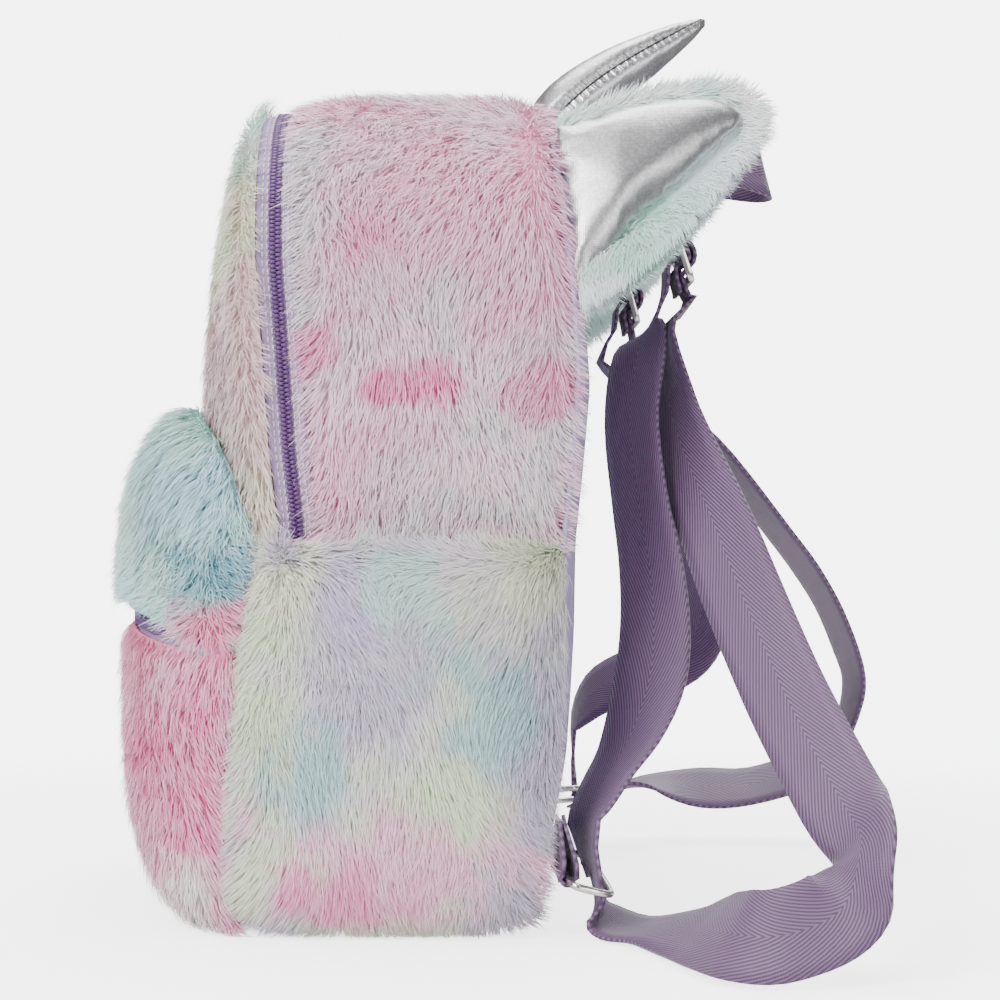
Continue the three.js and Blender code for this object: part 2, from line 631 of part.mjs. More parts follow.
// Bottom rings: a wire rectangle; long is along the webbing's width, span is from the tab's bar to the strap's
const rings = {
  right: {
    centre: v3(0.447 * bagWidth, 0.582 * bagDepth, 0.0765 * bagHeight), long: v3(0.96, 0.18, -0.21),
    span: v3(-0.225, 0.908, -0.251),
  },
  left: {
    centre: v3(-0.447 * bagWidth, 0.582 * bagDepth, 0.0765 * bagHeight), long: v3(0.96, -0.1, 0.25),
    span: v3(0.08, 0.99, 0.1),
  },
};
for (const ring of Object.values(rings)) {
  ring.long.normalize();
  ring.face = v3(0, 0, 0).crossVectors(ring.long, ring.span).normalize();
  ring.span = v3(0, 0, 0).crossVectors(ring.face, ring.long).normalize();
}
function inRing(ring, span, face, long = 0) {
  return ring.centre.clone().addScaledVector(ring.span, span).addScaledVector(ring.face, face)
    .addScaledVector(ring.long, long);
}
function wireRing(name, ring) {
  const points = roundRect(ringLength / 2, ringSpan / 2, ringCorner);
  const columns = 7;
  const loops = points.map((p, i) => {
    const back = points[(i - 1 + points.length) % points.length];
    const next = points[(i + 1) % points.length];
    const t = new THREE.Vector2().subVectors(next, back).normalize();
    return Array.from({ length: columns }, (_, k) => {
      const a = k / columns * Math.PI * 2;
      const off = wire / 2 * Math.cos(a);
      return inRing(ring, p.y + (-t.x) * off, wire / 2 * Math.sin(a), p.x + t.y * off);
    });
  });
  return loft(name, loops, material('nickel', 0.3, 1), 'loop');
}

const tabTop = 0.138;

// Tabs: a short fold of webbing from the back seam round the ring's bar
function tab(name, ring) {
  const bar = -ringSpan / 2;
  const r = wire / 2 + webbingWall / 2 + seamGap;
  const centre = inRing(ring, bar, 0);
  const top = bagHeight * tabTop;
  const foot = backY(top) + seamGap * 3 + twillWall + backBulge * 0.3 + webbingWall / 2;
  const flat = v3(1, 0, 0);
  const path = [{ p: v3(centre.x, foot, top), w: flat }, { p: inRing(ring, bar - r, r), w: ring.long }];
  const steps = 6;
  for (let k = 0; k <= steps; k += 1) {
    const a = Math.PI + k / steps * Math.PI;
    path.push({ p: inRing(ring, bar + r * Math.cos(a), r * Math.sin(a)), w: ring.long });
  }
  path.push({ p: inRing(ring, bar + r * 0.9, r * 1.3), w: ring.long },
    { p: v3(centre.x, foot + webbingWall + seamGap, top), w: flat });
  return ribbon(name, path, webbingWidth - webbingPlay * 6, webbingWall, material('webbing', 0.75));
}

// Shoulder straps. Rows: width share, depth share, height share of the centre, then the width direction.
const rightOut = [
  [0.188, 0.894, 0.725, 0.99, 0.08, 0.00], [0.225, 0.910, 0.636, 0.89, 0.45, 0.08],
  [0.258, 0.952, 0.573, 0.76, 0.62, 0.19], [0.314, 1.034, 0.490, 0.51, 0.79, 0.34],
  [0.394, 1.126, 0.392, 0.25, 0.87, 0.42], [0.492, 1.213, 0.303, 0.22, 0.86, 0.44],
  [0.576, 1.278, 0.244, 0.20, 0.86, 0.47], [0.678, 1.352, 0.183, 0.15, 0.86, 0.50],
  [0.752, 1.391, 0.1541, 0.70, 0.52, 0.46], [0.794, 1.370, 0.1279, 0.88, 0.46, -0.05],
  [0.807, 1.333, 0.0918, 0.50, 0.40, -0.77], [0.818, 1.259, 0.0705, 0.18, 0.15, -0.96],
  [0.824, 1.123, 0.0557, 0.08, -0.27, -0.95], [0.792, 1.018, 0.0521, 0.06, -0.42, -0.90],
  [0.710, 0.959, 0.0456, 0.15, -0.60, -0.78], [0.614, 0.918, 0.0348, 0.38, -0.70, -0.55],
  [0.517, 0.845, 0.0216, 0.60, -0.75, -0.26], [0.453, 0.727, 0.0111, 0.82, -0.52, -0.10],
  [0.432, 0.640, 0.0260, 0.93, -0.18, -0.20],
];
const rightBack = [
  [0.424, 0.600, 0.125, 0.96, 0.25, -0.10], [0.390, 0.660, 0.172, 0.81, 0.55, 0.20],
  [0.356, 0.752, 0.223, 0.60, 0.75, 0.30], [0.318, 0.824, 0.293, 0.50, 0.86, 0.10],
  [0.290, 0.844, 0.364, 0.60, 0.80, 0.00], [0.267, 0.830, 0.437, 0.70, 0.71, 0.00],
  [0.247, 0.798, 0.511, 0.78, 0.63, 0.00], [0.220, 0.773, 0.612, 0.80, 0.60, 0.00],
  [0.186, 0.808, 0.701, 0.80, 0.58, 0.00],
];
const leftOut = [
  [-0.180, 0.858, 0.705, 1.00, 0.02, 0.00], [-0.203, 0.982, 0.645, 0.99, 0.15, 0.00],
  [-0.233, 1.162, 0.577, 0.97, 0.20, 0.10], [-0.297, 1.404, 0.472, 0.97, 0.20, 0.10],
  [-0.339, 1.539, 0.411, 0.97, 0.20, 0.10], [-0.381, 1.656, 0.344, 0.98, 0.20, 0.05],
  [-0.424, 1.742, 0.269, 0.98, 0.20, 0.00], [-0.453, 1.756, 0.216, 0.97, 0.10, -0.20],
  [-0.475, 1.710, 0.163, 0.95, 0.00, -0.30], [-0.496, 1.580, 0.112, 0.90, 0.00, -0.43],
  [-0.513, 1.356, 0.083, 0.90, -0.05, -0.43], [-0.520, 1.151, 0.080, 0.88, -0.05, -0.47],
  [-0.515, 0.944, 0.085, 0.90, -0.05, -0.1], [-0.480, 0.790, 0.080, 0.95, -0.1, 0.2],
];
const leftBack = [
  [-0.468, 0.620, 0.170, 0.90, 0, -0.20], [-0.450, 0.686, 0.220, 0.80, 0.05, -0.60],
  [-0.407, 0.809, 0.250, 0.75, 0.10, -0.65],
  [-0.364, 0.960, 0.270, 0.72, 0.31, -0.62], [-0.322, 1.073, 0.304, 0.70, 0.60, -0.40],
  [-0.284, 1.117, 0.355, 0.76, 0.65, 0.00], [-0.254, 1.088, 0.420, 0.80, 0.60, 0.00],
  [-0.225, 0.997, 0.497, 0.91, 0.41, 0.00], [-0.203, 0.900, 0.581, 0.95, 0.30, 0.00],
  [-0.186, 0.810, 0.664, 0.98, 0.20, 0.00],
];
function strapRows(rows, steps) {
  return rows.map(([x, y, z, wx, wy, wz]) => ({
    p: v3(x * bagWidth, y * bagDepth, z * bagHeight), w: v3(wx, wy, wz).normalize(), steps,
  }));
}
function strap(name, side, frame, ring, outRows, backRows) {
  const t = webbingWall;
  const g = seamGap;
  const bar = wire / 2;
  const face = sliderWall / 2 + g + t / 2;
  const over = bar + g + t / 2;
  const edge = sliderSpan / 2;
  const inSlider = (pairs) => pairs.map(([along, away]) => ({
    p: inFrame(frame, along, away), w: frame.width.clone(), steps: 1,
  }));
  const top = v3(side * bagWidth * 0.178, 0, bagHeight * 0.966);
  top.y = onBack(Math.abs(top.x), top.z + webbingWall) + seamGap;
  const anchor = [[top, v3(1, 0, 0)], [v3(top.x, bagDepth * 0.62, bagHeight * 0.955), v3(1, 0, 0)],
    [v3(side * bagWidth * 0.174, bagDepth * 0.74, bagHeight * 0.92), v3(1, 0, 0)]];
  const through = inSlider([
    [edge * 1.9, -face], [edge + wire, -face], [edge - wire * 0.7, -face], [edge * 0.64, -t * 0.6],
    [edge * 0.43, over + t * 0.6], [0, over + t + g + t * 0.4], [-edge * 0.43, over + t * 0.6],
    [-edge * 0.64, -t * 0.6], [-edge + wire * 0.7, -face], [-edge - wire, -face], [-edge * 1.9, -face - t * 0.3],
  ]);
  const strapBar = ringSpan / 2;
  const wrap = wire / 2 + g + t / 2;
  const round = [];
  const wrapSteps = 3;
  for (let k = 0; k <= wrapSteps; k += 1) {
    const a = -Math.PI * 0.6 - k / wrapSteps * Math.PI * 0.4;
    round.push({
      p: inRing(ring, strapBar + wrap * Math.cos(a), wrap * Math.sin(a)), w: ring.long.clone(), steps: 1,
    });
  }
  const fold = inSlider([
    [-edge * 2.1, -face - t * 11], [-edge - wire * 0.4, -face - t * 5], [-edge * 0.32, -over - t * 2.6],
    [0, -over], [over * 0.95, -over * 0.8], [over * 1.1, 0], [over * 0.95, over * 0.8], [0, over],
    [-over * 0.95, over * 0.8], [-over * 1.1, 0], [-edge * 0.46, -face - t], [-edge - wire * 0.4, -face - t * 1.6],
    [-edge - wire * 1.2, -face - t * 1.9],
  ]);
  const rows = [
    ...anchor.map(([p, w]) => ({ p, w, steps: 3 })), ...through, ...strapRows(outRows, 2), ...round,
    ...strapRows(backRows, 2), ...fold,
  ];
  rows[anchor.length + through.length - 1].steps = 2;
  rows[anchor.length + through.length + outRows.length + round.length - 1].steps = 2;
  return ribbon(name, smooth(rows), webbingWidth, webbingWall, material('webbing', 0.75));
}

// Haul loop: two legs that turn on edge and meet behind
const haulRows = [
  [0.115, 0.50, 0.980, 1, 0, 0], [0.117, 0.60, 0.983, 1, 0, 0], [0.117, 0.74, 0.983, 0.9, 0, -0.4],
  [0.11, 0.92, 0.975, 0.5, 0.1, -0.85], [0.09, 1.10, 0.960, 0.1, 0.2, -0.97],
  [0.05, 1.25, 0.947, 0.0, 0.25, -0.97],
];
function haulLoop() {
  const rows = strapRows(haulRows, 2);
  rows[0].p.y = onBack(rows[0].p.x, rows[0].p.z + webbingWall) + seamGap;
  const tip = { p: v3(0, 1.285 * bagDepth, 0.943 * bagHeight), w: v3(0, 0.25, -0.97), steps: 2 };
  const mirrored = rows.slice().reverse().map(({ p, w }) => ({
    p: v3(-p.x, p.y, p.z), w: v3(-w.x, w.y, w.z), steps: 2,
  }));
  const stations = smooth([...rows, tip, ...mirrored]);
  return ribbon('haul_loop', stations, haulWidth, webbingWall, material('webbing', 0.75));
}

const group = new THREE.Group();
group.name = 'kids_animal_backpack';
group.add(
  gusset(), mainTape('zip_tape_rear', 1), mainTape('zip_tape_front', -1), frontPanel(), backPanel(),
  mainSlider(), pocketFront(), snout(), pocketZip(), pocketSlider(),
  sidePocket('side_pocket_right', 1), sidePocket('side_pocket_left', -1),
  earPad('ear_right_face', 1, earRows, seamGap / 2, earPuff, 'silver', false),
  earPad('ear_right_back', 1, plushRows, -seamGap / 2, -earPlush, 'ear', true),
  earPad('ear_left_face', -1, earRows, seamGap / 2, earPuff, 'silver', false),
  earPad('ear_left_back', -1, plushRows, -seamGap / 2, -earPlush, 'ear', true),
  horn(), haulLoop(),
  strap('strap_right', 1, frames.right, rings.right, rightOut, rightBack),
  strap('strap_left', -1, frames.left, rings.left, leftOut, leftBack),
  slider('slider_right', frames.right), slider('slider_left', frames.left),
  wireRing('ring_right', rings.right), wireRing('ring_left', rings.left),
  tab('tab_right', rings.right), tab('tab_left', rings.left),
);
export default group;
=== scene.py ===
"""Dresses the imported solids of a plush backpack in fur, silver cloth and webbing."""

import math

import bmesh
import bpy
import numpy as np
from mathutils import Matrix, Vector, kdtree


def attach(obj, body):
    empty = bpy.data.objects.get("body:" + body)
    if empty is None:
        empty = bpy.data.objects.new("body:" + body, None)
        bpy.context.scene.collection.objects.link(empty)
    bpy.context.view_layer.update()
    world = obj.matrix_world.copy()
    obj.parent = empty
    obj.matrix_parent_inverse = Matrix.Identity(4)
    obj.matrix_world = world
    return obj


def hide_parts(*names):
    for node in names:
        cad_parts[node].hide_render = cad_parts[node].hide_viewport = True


bl_info = {
    "name": "Plush backpack",
    "version": (1, 0, 0),
    "blender": (4, 5, 0),
    "location": "View3D > Sidebar > Backpack",
    "description": "Plush, silver cloth and webbing for a child's backpack",
    "category": "Object",
}

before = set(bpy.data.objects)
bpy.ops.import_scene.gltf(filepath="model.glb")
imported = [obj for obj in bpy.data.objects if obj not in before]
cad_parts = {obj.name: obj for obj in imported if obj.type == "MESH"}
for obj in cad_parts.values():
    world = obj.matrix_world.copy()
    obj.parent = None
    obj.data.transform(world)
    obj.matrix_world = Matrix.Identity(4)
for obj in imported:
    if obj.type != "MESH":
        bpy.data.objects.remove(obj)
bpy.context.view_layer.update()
BODY = "root"
MM = 0.001

# Driving sizes in millimetres, as in the part's source
BAG_WIDTH = 236
BAG_HEIGHT = 305
BAG_DEPTH = 110
TOP_RADIUS = 65
BASE_RADIUS = 30
SEAM_INSET = 4
SEAM_GAP = 0.5
PLUSH_WALL = 1.5
TWILL_WALL = 1.8
LUMP_HEIGHT = 1.4
PANEL_BULGE = 31
BACK_BULGE = 6
ZIP_WIDTH = 14
POCKET_HEIGHT = 190
POCKET_DEPTH = 31
POCKET_WIDTH = 214
POCKET_ZIP_HEIGHT = 114
POCKET_SLOT = 8
POCKET_SAG = 8
SIDE_MOUTH = 13
SIDE_HEIGHT = 141
EAR_PUFF = 8
EAR_PLUSH = 9
HORN_LENGTH = 82
HORN_THICK = 28
WEBBING_WIDTH = 30
WEBBING_WALL = 1.4
HAUL_WIDTH = 22
WIRE = 3
RING_SPAN = 15
SLIDER_SPAN = 20
SLIDER_WALL = 2.6
PILE_SINK = 3.0
PANEL_PILE_SINK = 6.0
POCKET_PILE_SINK = 5.0
POCKET_SPREAD = 5.0
FLOOR_GAP = 0.4
WHITE = 6.0
FACE_SPREAD = 1.06

# Height share against depth share of the seams seen from the side
BACK_SEAM = np.array([
    (0, 0.40), (0.1, 0.44), (0.2, 0.482), (0.35, 0.505), (0.46, 0.51), (0.55, 0.536),
    (0.65, 0.56), (0.75, 0.545), (0.87, 0.50), (1, 0.464),
])
FRONT_SEAM = np.array([(0, -0.527), (0.2, -0.513), (0.33, -0.483), (0.46, -0.414), (1, -0.414)])
ZIP_LINE = np.array([
    (0.4, -0.325), (0.49, -0.336), (0.57, -0.362), (0.685, -0.384), (0.79, -0.405), (1, -0.414),
])

# Lengths along half of the outline, from the middle of the base to the middle of the top
SIDE = BAG_WIDTH / 2
BASE_END = SIDE - BASE_RADIUS
CORNER_END = BASE_END + BASE_RADIUS * math.pi / 2
STRAIGHT_END = CORNER_END + BAG_HEIGHT - BASE_RADIUS - TOP_RADIUS
TOP_END = STRAIGHT_END + TOP_RADIUS * math.pi / 2
HALF_RUN = TOP_END + SIDE - TOP_RADIUS
CENTRE_Z = BAG_HEIGHT * 0.48


def back_y(z):
    return BAG_DEPTH * np.interp(np.asarray(z) / BAG_HEIGHT, BACK_SEAM[:, 0], BACK_SEAM[:, 1])


def front_y(z):
    return BAG_DEPTH * np.interp(np.asarray(z) / BAG_HEIGHT, FRONT_SEAM[:, 0], FRONT_SEAM[:, 1])


def zip_y(z):
    return BAG_DEPTH * np.interp(np.asarray(z) / BAG_HEIGHT, ZIP_LINE[:, 0], ZIP_LINE[:, 1])


def gusset_edge(z):
    return np.where(z >= SIDE_HEIGHT, zip_y(z) + ZIP_WIDTH / 2 + SEAM_GAP, front_y(z) + SEAM_GAP)


def panel_edge(z):
    return np.where(z >= SIDE_HEIGHT, zip_y(z) - ZIP_WIDTH / 2 - SEAM_GAP, front_y(z))


def rim(walk):
    """Place and outward direction on the outline. Walk goes 0 to 1 up the right side and 1 to 2 down the left."""
    walk = np.asarray(walk, float)
    mirror = np.where(walk > 1, -1.0, 1.0)
    run = np.where(walk > 1, 2 - walk, walk) * HALF_RUN
    low = np.clip((run - BASE_END) / BASE_RADIUS, 0, math.pi / 2)
    high = np.clip((run - STRAIGHT_END) / TOP_RADIUS, 0, math.pi / 2)
    x = np.minimum(run, BASE_END) + BASE_RADIUS * np.sin(low) - TOP_RADIUS * (1 - np.cos(high))
    x = x - np.clip(run - TOP_END, 0, None)
    z = BASE_RADIUS * (1 - np.cos(low)) + np.clip(run - CORNER_END, 0, STRAIGHT_END - CORNER_END)
    z = z + TOP_RADIUS * np.sin(high)
    return x * mirror, z, np.sin(low) * np.cos(high) * mirror, np.sin(high) - np.cos(low)


def walk_at(z):
    """The walk at a height on the straight part of the right side."""
    return (CORNER_END + z - BASE_RADIUS) / HALF_RUN


def walks(low_cells, high_cells):
    """Walk values all the way round, with a close pair where the side pocket's mouth and the zip meet."""
    low = np.linspace(0, walk_at(SIDE_HEIGHT - 1), low_cells)
    high = np.linspace(walk_at(SIDE_HEIGHT), 1, high_cells)
    right = np.concatenate([low, high])
    return np.concatenate([right, 2 - right[-2::-1]])


def lumps(x, y, z):
    wave = np.sin(x / 23 + z / 31) + np.sin(y / 17 - z / 27 + 1) + np.sin(x / 37 - y / 29 + 2)
    return LUMP_HEIGHT * wave / 3


def gusset_surface(walk, across, sink):
    """The band round the bag: across goes 0 at the back seam to 1 at the zip or the front seam."""
    x, z, nx, nz = rim(walk)
    y = back_y(z) + (gusset_edge(z) - back_y(z)) * across
    curl = 0.22
    dip = np.clip(1 - np.minimum(across, 1 - across) / curl, 0, 1) ** 2
    rise = np.where(z >= SIDE_HEIGHT, lumps(x, y, z), 0) * (1 - dip)
    depth = SEAM_INSET * dip + sink - rise
    return np.stack([x - nx * depth, y + 0 * x, z - nz * depth], axis=-1)


def dome_surface(walk, share, sink, lift):
    """The bulging front panel: share goes 1 at the rim to 0 at the middle."""
    x, z, nx, nz = rim(walk)
    rise = (1 - share ** 2.6) ** 0.625
    y = panel_edge(z) + (-BAG_DEPTH / 2 - PANEL_BULGE + SEAM_INSET - panel_edge(z)) * rise + lift
    px = (x - nx * sink) * share
    pz = CENTRE_Z + (z - nz * sink - CENTRE_Z) * share
    fade = np.clip((1 - share) / 0.1, 0, 1)
    return np.stack([px, y - lumps(px, y, pz) * fade, pz], axis=-1)


# The inset outline seen from the front, as angle against reach, for finding a share from a place
_x, _z, _nx, _nz = rim(np.linspace(0, 2, 721)[:-1])
_angle = np.arctan2(_z - _nz * SEAM_INSET - CENTRE_Z, _x - _nx * SEAM_INSET)
_order = np.argsort(_angle)
RIM_ANGLE = _angle[_order]
RIM_REACH = np.hypot(_x - _nx * SEAM_INSET, _z - _nz * SEAM_INSET - CENTRE_Z)[_order]
RIM_Z = _z[_order]


def panel_y(x, z):
    """The front panel's outer face at a place seen from the front."""
    angle = np.arctan2(z - CENTRE_Z, x)
    reach = np.interp(angle, RIM_ANGLE, RIM_REACH, period=2 * math.pi)
    rim_y = panel_edge(np.interp(angle, RIM_ANGLE, RIM_Z, period=2 * math.pi))
    share = np.clip(np.hypot(x, z - CENTRE_Z) / reach, 0, 1)
    rise = (1 - share ** 2.6) ** 0.625
    y = rim_y + (-BAG_DEPTH / 2 - PANEL_BULGE + SEAM_INSET - rim_y) * rise
    return y - lumps(x, y, z) * np.clip((1 - share) / 0.1, 0, 1)


def back_face_y(x, z):
    """The back panel's outer face at a place seen from behind."""
    angle = np.arctan2(z - CENTRE_Z, x)
    reach = np.interp(angle, RIM_ANGLE, RIM_REACH, period=2 * math.pi)
    share = np.clip(np.hypot(x, z - CENTRE_Z) / reach, 0, 1)
    return back_y(z) + SEAM_GAP + TWILL_WALL + BACK_BULGE * (1 - share ** 3)


def back_surface(walk, across):
    """The back panel in level rows: across goes -1 at its left edge to 1 at its right."""
    x, z, nx, nz = rim(walk)
    px = (x - nx * SEAM_INSET) * across
    pz = z - nz * SEAM_INSET + 0 * px
    return np.stack([px, back_face_y(px, pz), pz], axis=-1)


# Front pocket: share of its height, share of half width, share of depth
POCKET_LEVELS = np.array([
    (0.008, 0.90, 0.04), (0.012, 0.935, 0.5), (0.03, 0.96, 0.86), (0.09, 0.99, 1.0), (0.22, 1.0, 1.05),
    (0.36, 1.0, 1.04), (0.48, 1.0, 1.02), (0.6, 1.0, 1.0), (0.72, 0.995, 0.98), (0.81, 0.975, 0.90),
    (0.88, 0.93, 0.76), (0.94, 0.85, 0.56), (0.975, 0.74, 0.36), (0.993, 0.64, 0.16), (1.0, 0.6, 0.05),
])
ZIP_SHARE = POCKET_ZIP_HEIGHT / POCKET_HEIGHT
SLOT_SHARE = POCKET_SLOT / 2 / POCKET_HEIGHT


def pocket_surface(share, turn, sink, sag):
    """The pocket's face: share goes up it, and turn goes from -1 at its left edge to 1 at its right."""
    t = turn * math.pi / 2
    half = (POCKET_WIDTH / 2 + POCKET_SPREAD) * np.interp(share, POCKET_LEVELS[:, 0], POCKET_LEVELS[:, 1])
    depth = POCKET_DEPTH * np.interp(share, POCKET_LEVELS[:, 0], POCKET_LEVELS[:, 2]) - sink
    x = half * np.sign(t) * np.abs(np.sin(t)) ** 0.72
    z = POCKET_HEIGHT * share - sag * np.sin(t) ** 2 + 0 * x
    stand = np.maximum(depth, 0.3) * np.clip(np.cos(t), 0, 1) ** 0.62
    y = panel_y(x, z) - stand - np.where(stand > PLUSH_WALL, lumps(x, 0, z), 0) - SEAM_GAP * 2.4
    return np.stack([x, y, z], axis=-1)


def side_pocket_surface(walk, across, side, extra):
    """A slip pocket on the gusset that stands off it at the mouth."""
    z = rim(walk)[1]
    rise = np.clip(z / (SIDE_HEIGHT - 1), 0, 1) ** 0.8
    arch = np.clip(1 - np.abs(2 * across - 1) ** 3, 0, 1) ** 0.8
    points = gusset_surface(walk, across, -(SEAM_GAP + rise * arch * SIDE_MOUTH + extra))
    return points * np.array([side, 1, 1])


# Ears: upper edge as depth and height shares, lower edge as depth and height shares, thickness share
EAR_ROWS = np.array([
    (0.520, 0.953, 0.560, 0.765, 0.35), (0.590, 0.960, 0.615, 0.778, 0.75), (0.69, 0.972, 0.690, 0.808, 1.0),
    (0.80, 0.983, 0.765, 0.842, 1.0), (0.90, 0.988, 0.850, 0.868, 0.95), (0.99, 0.988, 0.935, 0.896, 0.85),
    (1.06, 0.980, 1.01, 0.924, 0.65), (1.105, 0.964, 1.085, 0.948, 0.35),
])
PLUSH_EAR_ROWS = np.array([
    (0.525, 0.960, 0.555, 0.745, 0.4), (0.590, 0.972, 0.625, 0.752, 0.8), (0.69, 0.986, 0.715, 0.770, 1.0),
    (0.80, 0.998, 0.810, 0.800, 1.0), (0.91, 1.004, 0.905, 0.835, 1.0), (1.01, 1.006, 1.000, 0.875, 0.9),
    (1.10, 1.002, 1.090, 0.915, 0.75), (1.175, 0.985, 1.170, 0.950, 0.4),
])
EAR_LEAN = 0.385
EAR_FOOT = 0.741


def ear_surface(along, across, side, rows, base, puff):
    """One face of an ear: along goes from its seam to its tip, and across from its upper to its lower edge."""
    at = along * (len(rows) - 1)
    step = np.arange(len(rows))
    row = [np.interp(at, step, rows[:, k]) for k in range(5)]
    crown = np.clip(1 - (2 * across - 1) ** 2, 0, 1) ** 0.55
    stand = base + puff * (0.18 + 0.82 * crown * row[4])
    z = BAG_HEIGHT * (row[1] + (row[3] - row[1]) * across)
    y = BAG_DEPTH * (row[0] + (row[2] - row[0]) * across)
    slope = math.hypot(1, EAR_LEAN)
    x = BAG_WIDTH / 2 - SEAM_INSET / 2 - EAR_LEAN * (z - BAG_HEIGHT * EAR_FOOT) + stand / slope
    lift = z + stand * EAR_LEAN / slope
    seat = back_face_y(x, lift) + SEAM_GAP
    y = np.where(along <= 0, seat, np.maximum(y, seat + SEAM_GAP))
    return np.stack([side * x, y, lift], axis=-1)


# Horn: share of its length, lean in degrees, half thickness share, half width share
HORN_ROWS = np.array([
    (0, 36, 0.62, 1.05), (0.08, 42, 0.84, 1.05), (0.18, 46, 0.92, 1.0), (0.32, 50, 0.88, 0.9),
    (0.48, 56, 0.78, 0.78), (0.64, 59, 0.65, 0.64), (0.8, 60, 0.46, 0.46), (0.92, 60, 0.30, 0.30),
    (1, 60, 0.14, 0.14),
])


def horn_line(cells):
    """Shares along, centres, across directions and half sizes of the horn's rings."""
    share = np.linspace(0, 1, cells + 1)
    lean = np.radians(np.interp(share, HORN_ROWS[:, 0], HORN_ROWS[:, 1]))
    along = np.stack([0 * lean, np.sin(lean), np.cos(lean)], axis=-1)
    steps = along * HORN_LENGTH / cells
    steps[0] = 0
    foot = np.array([0, back_y(BAG_HEIGHT) + SEAM_GAP * 2, BAG_HEIGHT - SEAM_INSET * 0.58])
    centre = foot + np.cumsum(steps, axis=0)
    across = np.stack([0 * lean, np.cos(lean), -np.sin(lean)], axis=-1)
    deep = HORN_THICK / 2 * np.interp(share, HORN_ROWS[:, 0], HORN_ROWS[:, 2])
    wide = HORN_THICK / 2 * np.interp(share, HORN_ROWS[:, 0], HORN_ROWS[:, 3])
    return share, centre, across, deep, wide


# Webbing: stations with a centre, a width direction and a number of steps to the next
def station(place, width, steps=2):
    width = np.array(width, float)
    return np.array(place, float), width / np.linalg.norm(width), steps


def smooth_line(rows, finer=2):
    """A curve through the stations, returned as places and width directions."""
    places, widths = [], []
    for i, (place, width, steps) in enumerate(rows):
        before, after, last = rows[max(i - 1, 0)], rows[min(i + 1, len(rows) - 1)], rows[min(i + 2, len(rows) - 1)]
        count = 1 if i == len(rows) - 1 else steps * finer
        for k in range(count):
            t = k / count
            for out, key in ((places, 0), (widths, 1)):
                p, q, r, s = before[key], (place, width)[key], after[key], last[key]
                out.append(0.5 * (2 * q + (r - p) * t + (2 * p - 5 * q + 4 * r - s) * t * t
                                  + (3 * q - p - 3 * r + s) * t ** 3))
    return np.array(places), np.array(widths)


def ribbon_surface(rows, width, columns=6, finer=2):
    """A flat band along the stations."""
    places, widths = smooth_line(rows, finer)
    along = np.gradient(places, axis=0)
    along /= np.linalg.norm(along, axis=1)[:, None]
    normal = np.cross(along, widths)
    normal /= np.linalg.norm(normal, axis=1)[:, None]
    across = np.cross(normal, along)
    shares = np.linspace(-0.5, 0.5, columns + 1)
    return places[:, None, :] + across[:, None, :] * shares[None, :, None] * width


def share_rows(rows):
    """Stations from rows of width, depth and height shares and a width direction."""
    size = np.array([BAG_WIDTH, BAG_DEPTH, BAG_HEIGHT])
    return [station(np.array(row[:3]) * size, row[3:]) for row in rows]


# Width share, depth share, height share of the strap's centre, then its width direction
RIGHT_OUT = [
    (0.188, 0.894, 0.725, 0.99, 0.08, 0.00), (0.225, 0.910, 0.636, 0.89, 0.45, 0.08),
    (0.258, 0.952, 0.573, 0.76, 0.62, 0.19), (0.314, 1.034, 0.490, 0.51, 0.79, 0.34),
    (0.394, 1.126, 0.392, 0.25, 0.87, 0.42), (0.492, 1.213, 0.303, 0.22, 0.86, 0.44),
    (0.576, 1.278, 0.244, 0.20, 0.86, 0.47), (0.678, 1.352, 0.183, 0.15, 0.86, 0.50),
    (0.752, 1.391, 0.1541, 0.70, 0.52, 0.46), (0.794, 1.370, 0.1279, 0.88, 0.46, -0.05),
    (0.807, 1.333, 0.0918, 0.50, 0.40, -0.77), (0.818, 1.259, 0.0705, 0.18, 0.15, -0.96),
    (0.824, 1.123, 0.0557, 0.08, -0.27, -0.95), (0.792, 1.018, 0.0521, 0.06, -0.42, -0.90),
    (0.710, 0.959, 0.0456, 0.15, -0.60, -0.78), (0.614, 0.918, 0.0348, 0.38, -0.70, -0.55),
    (0.517, 0.845, 0.0216, 0.60, -0.75, -0.26), (0.453, 0.727, 0.0111, 0.82, -0.52, -0.10),
    (0.432, 0.640, 0.0260, 0.93, -0.18, -0.20),
]
RIGHT_BACK = [
    (0.424, 0.600, 0.125, 0.96, 0.25, -0.10), (0.390, 0.660, 0.172, 0.81, 0.55, 0.20),
    (0.356, 0.752, 0.223, 0.60, 0.75, 0.30), (0.318, 0.824, 0.293, 0.50, 0.86, 0.10),
    (0.290, 0.844, 0.364, 0.60, 0.80, 0.00), (0.267, 0.830, 0.437, 0.70, 0.71, 0.00),
    (0.247, 0.798, 0.511, 0.78, 0.63, 0.00), (0.220, 0.773, 0.612, 0.80, 0.60, 0.00),
    (0.186, 0.808, 0.701, 0.80, 0.58, 0.00),
]
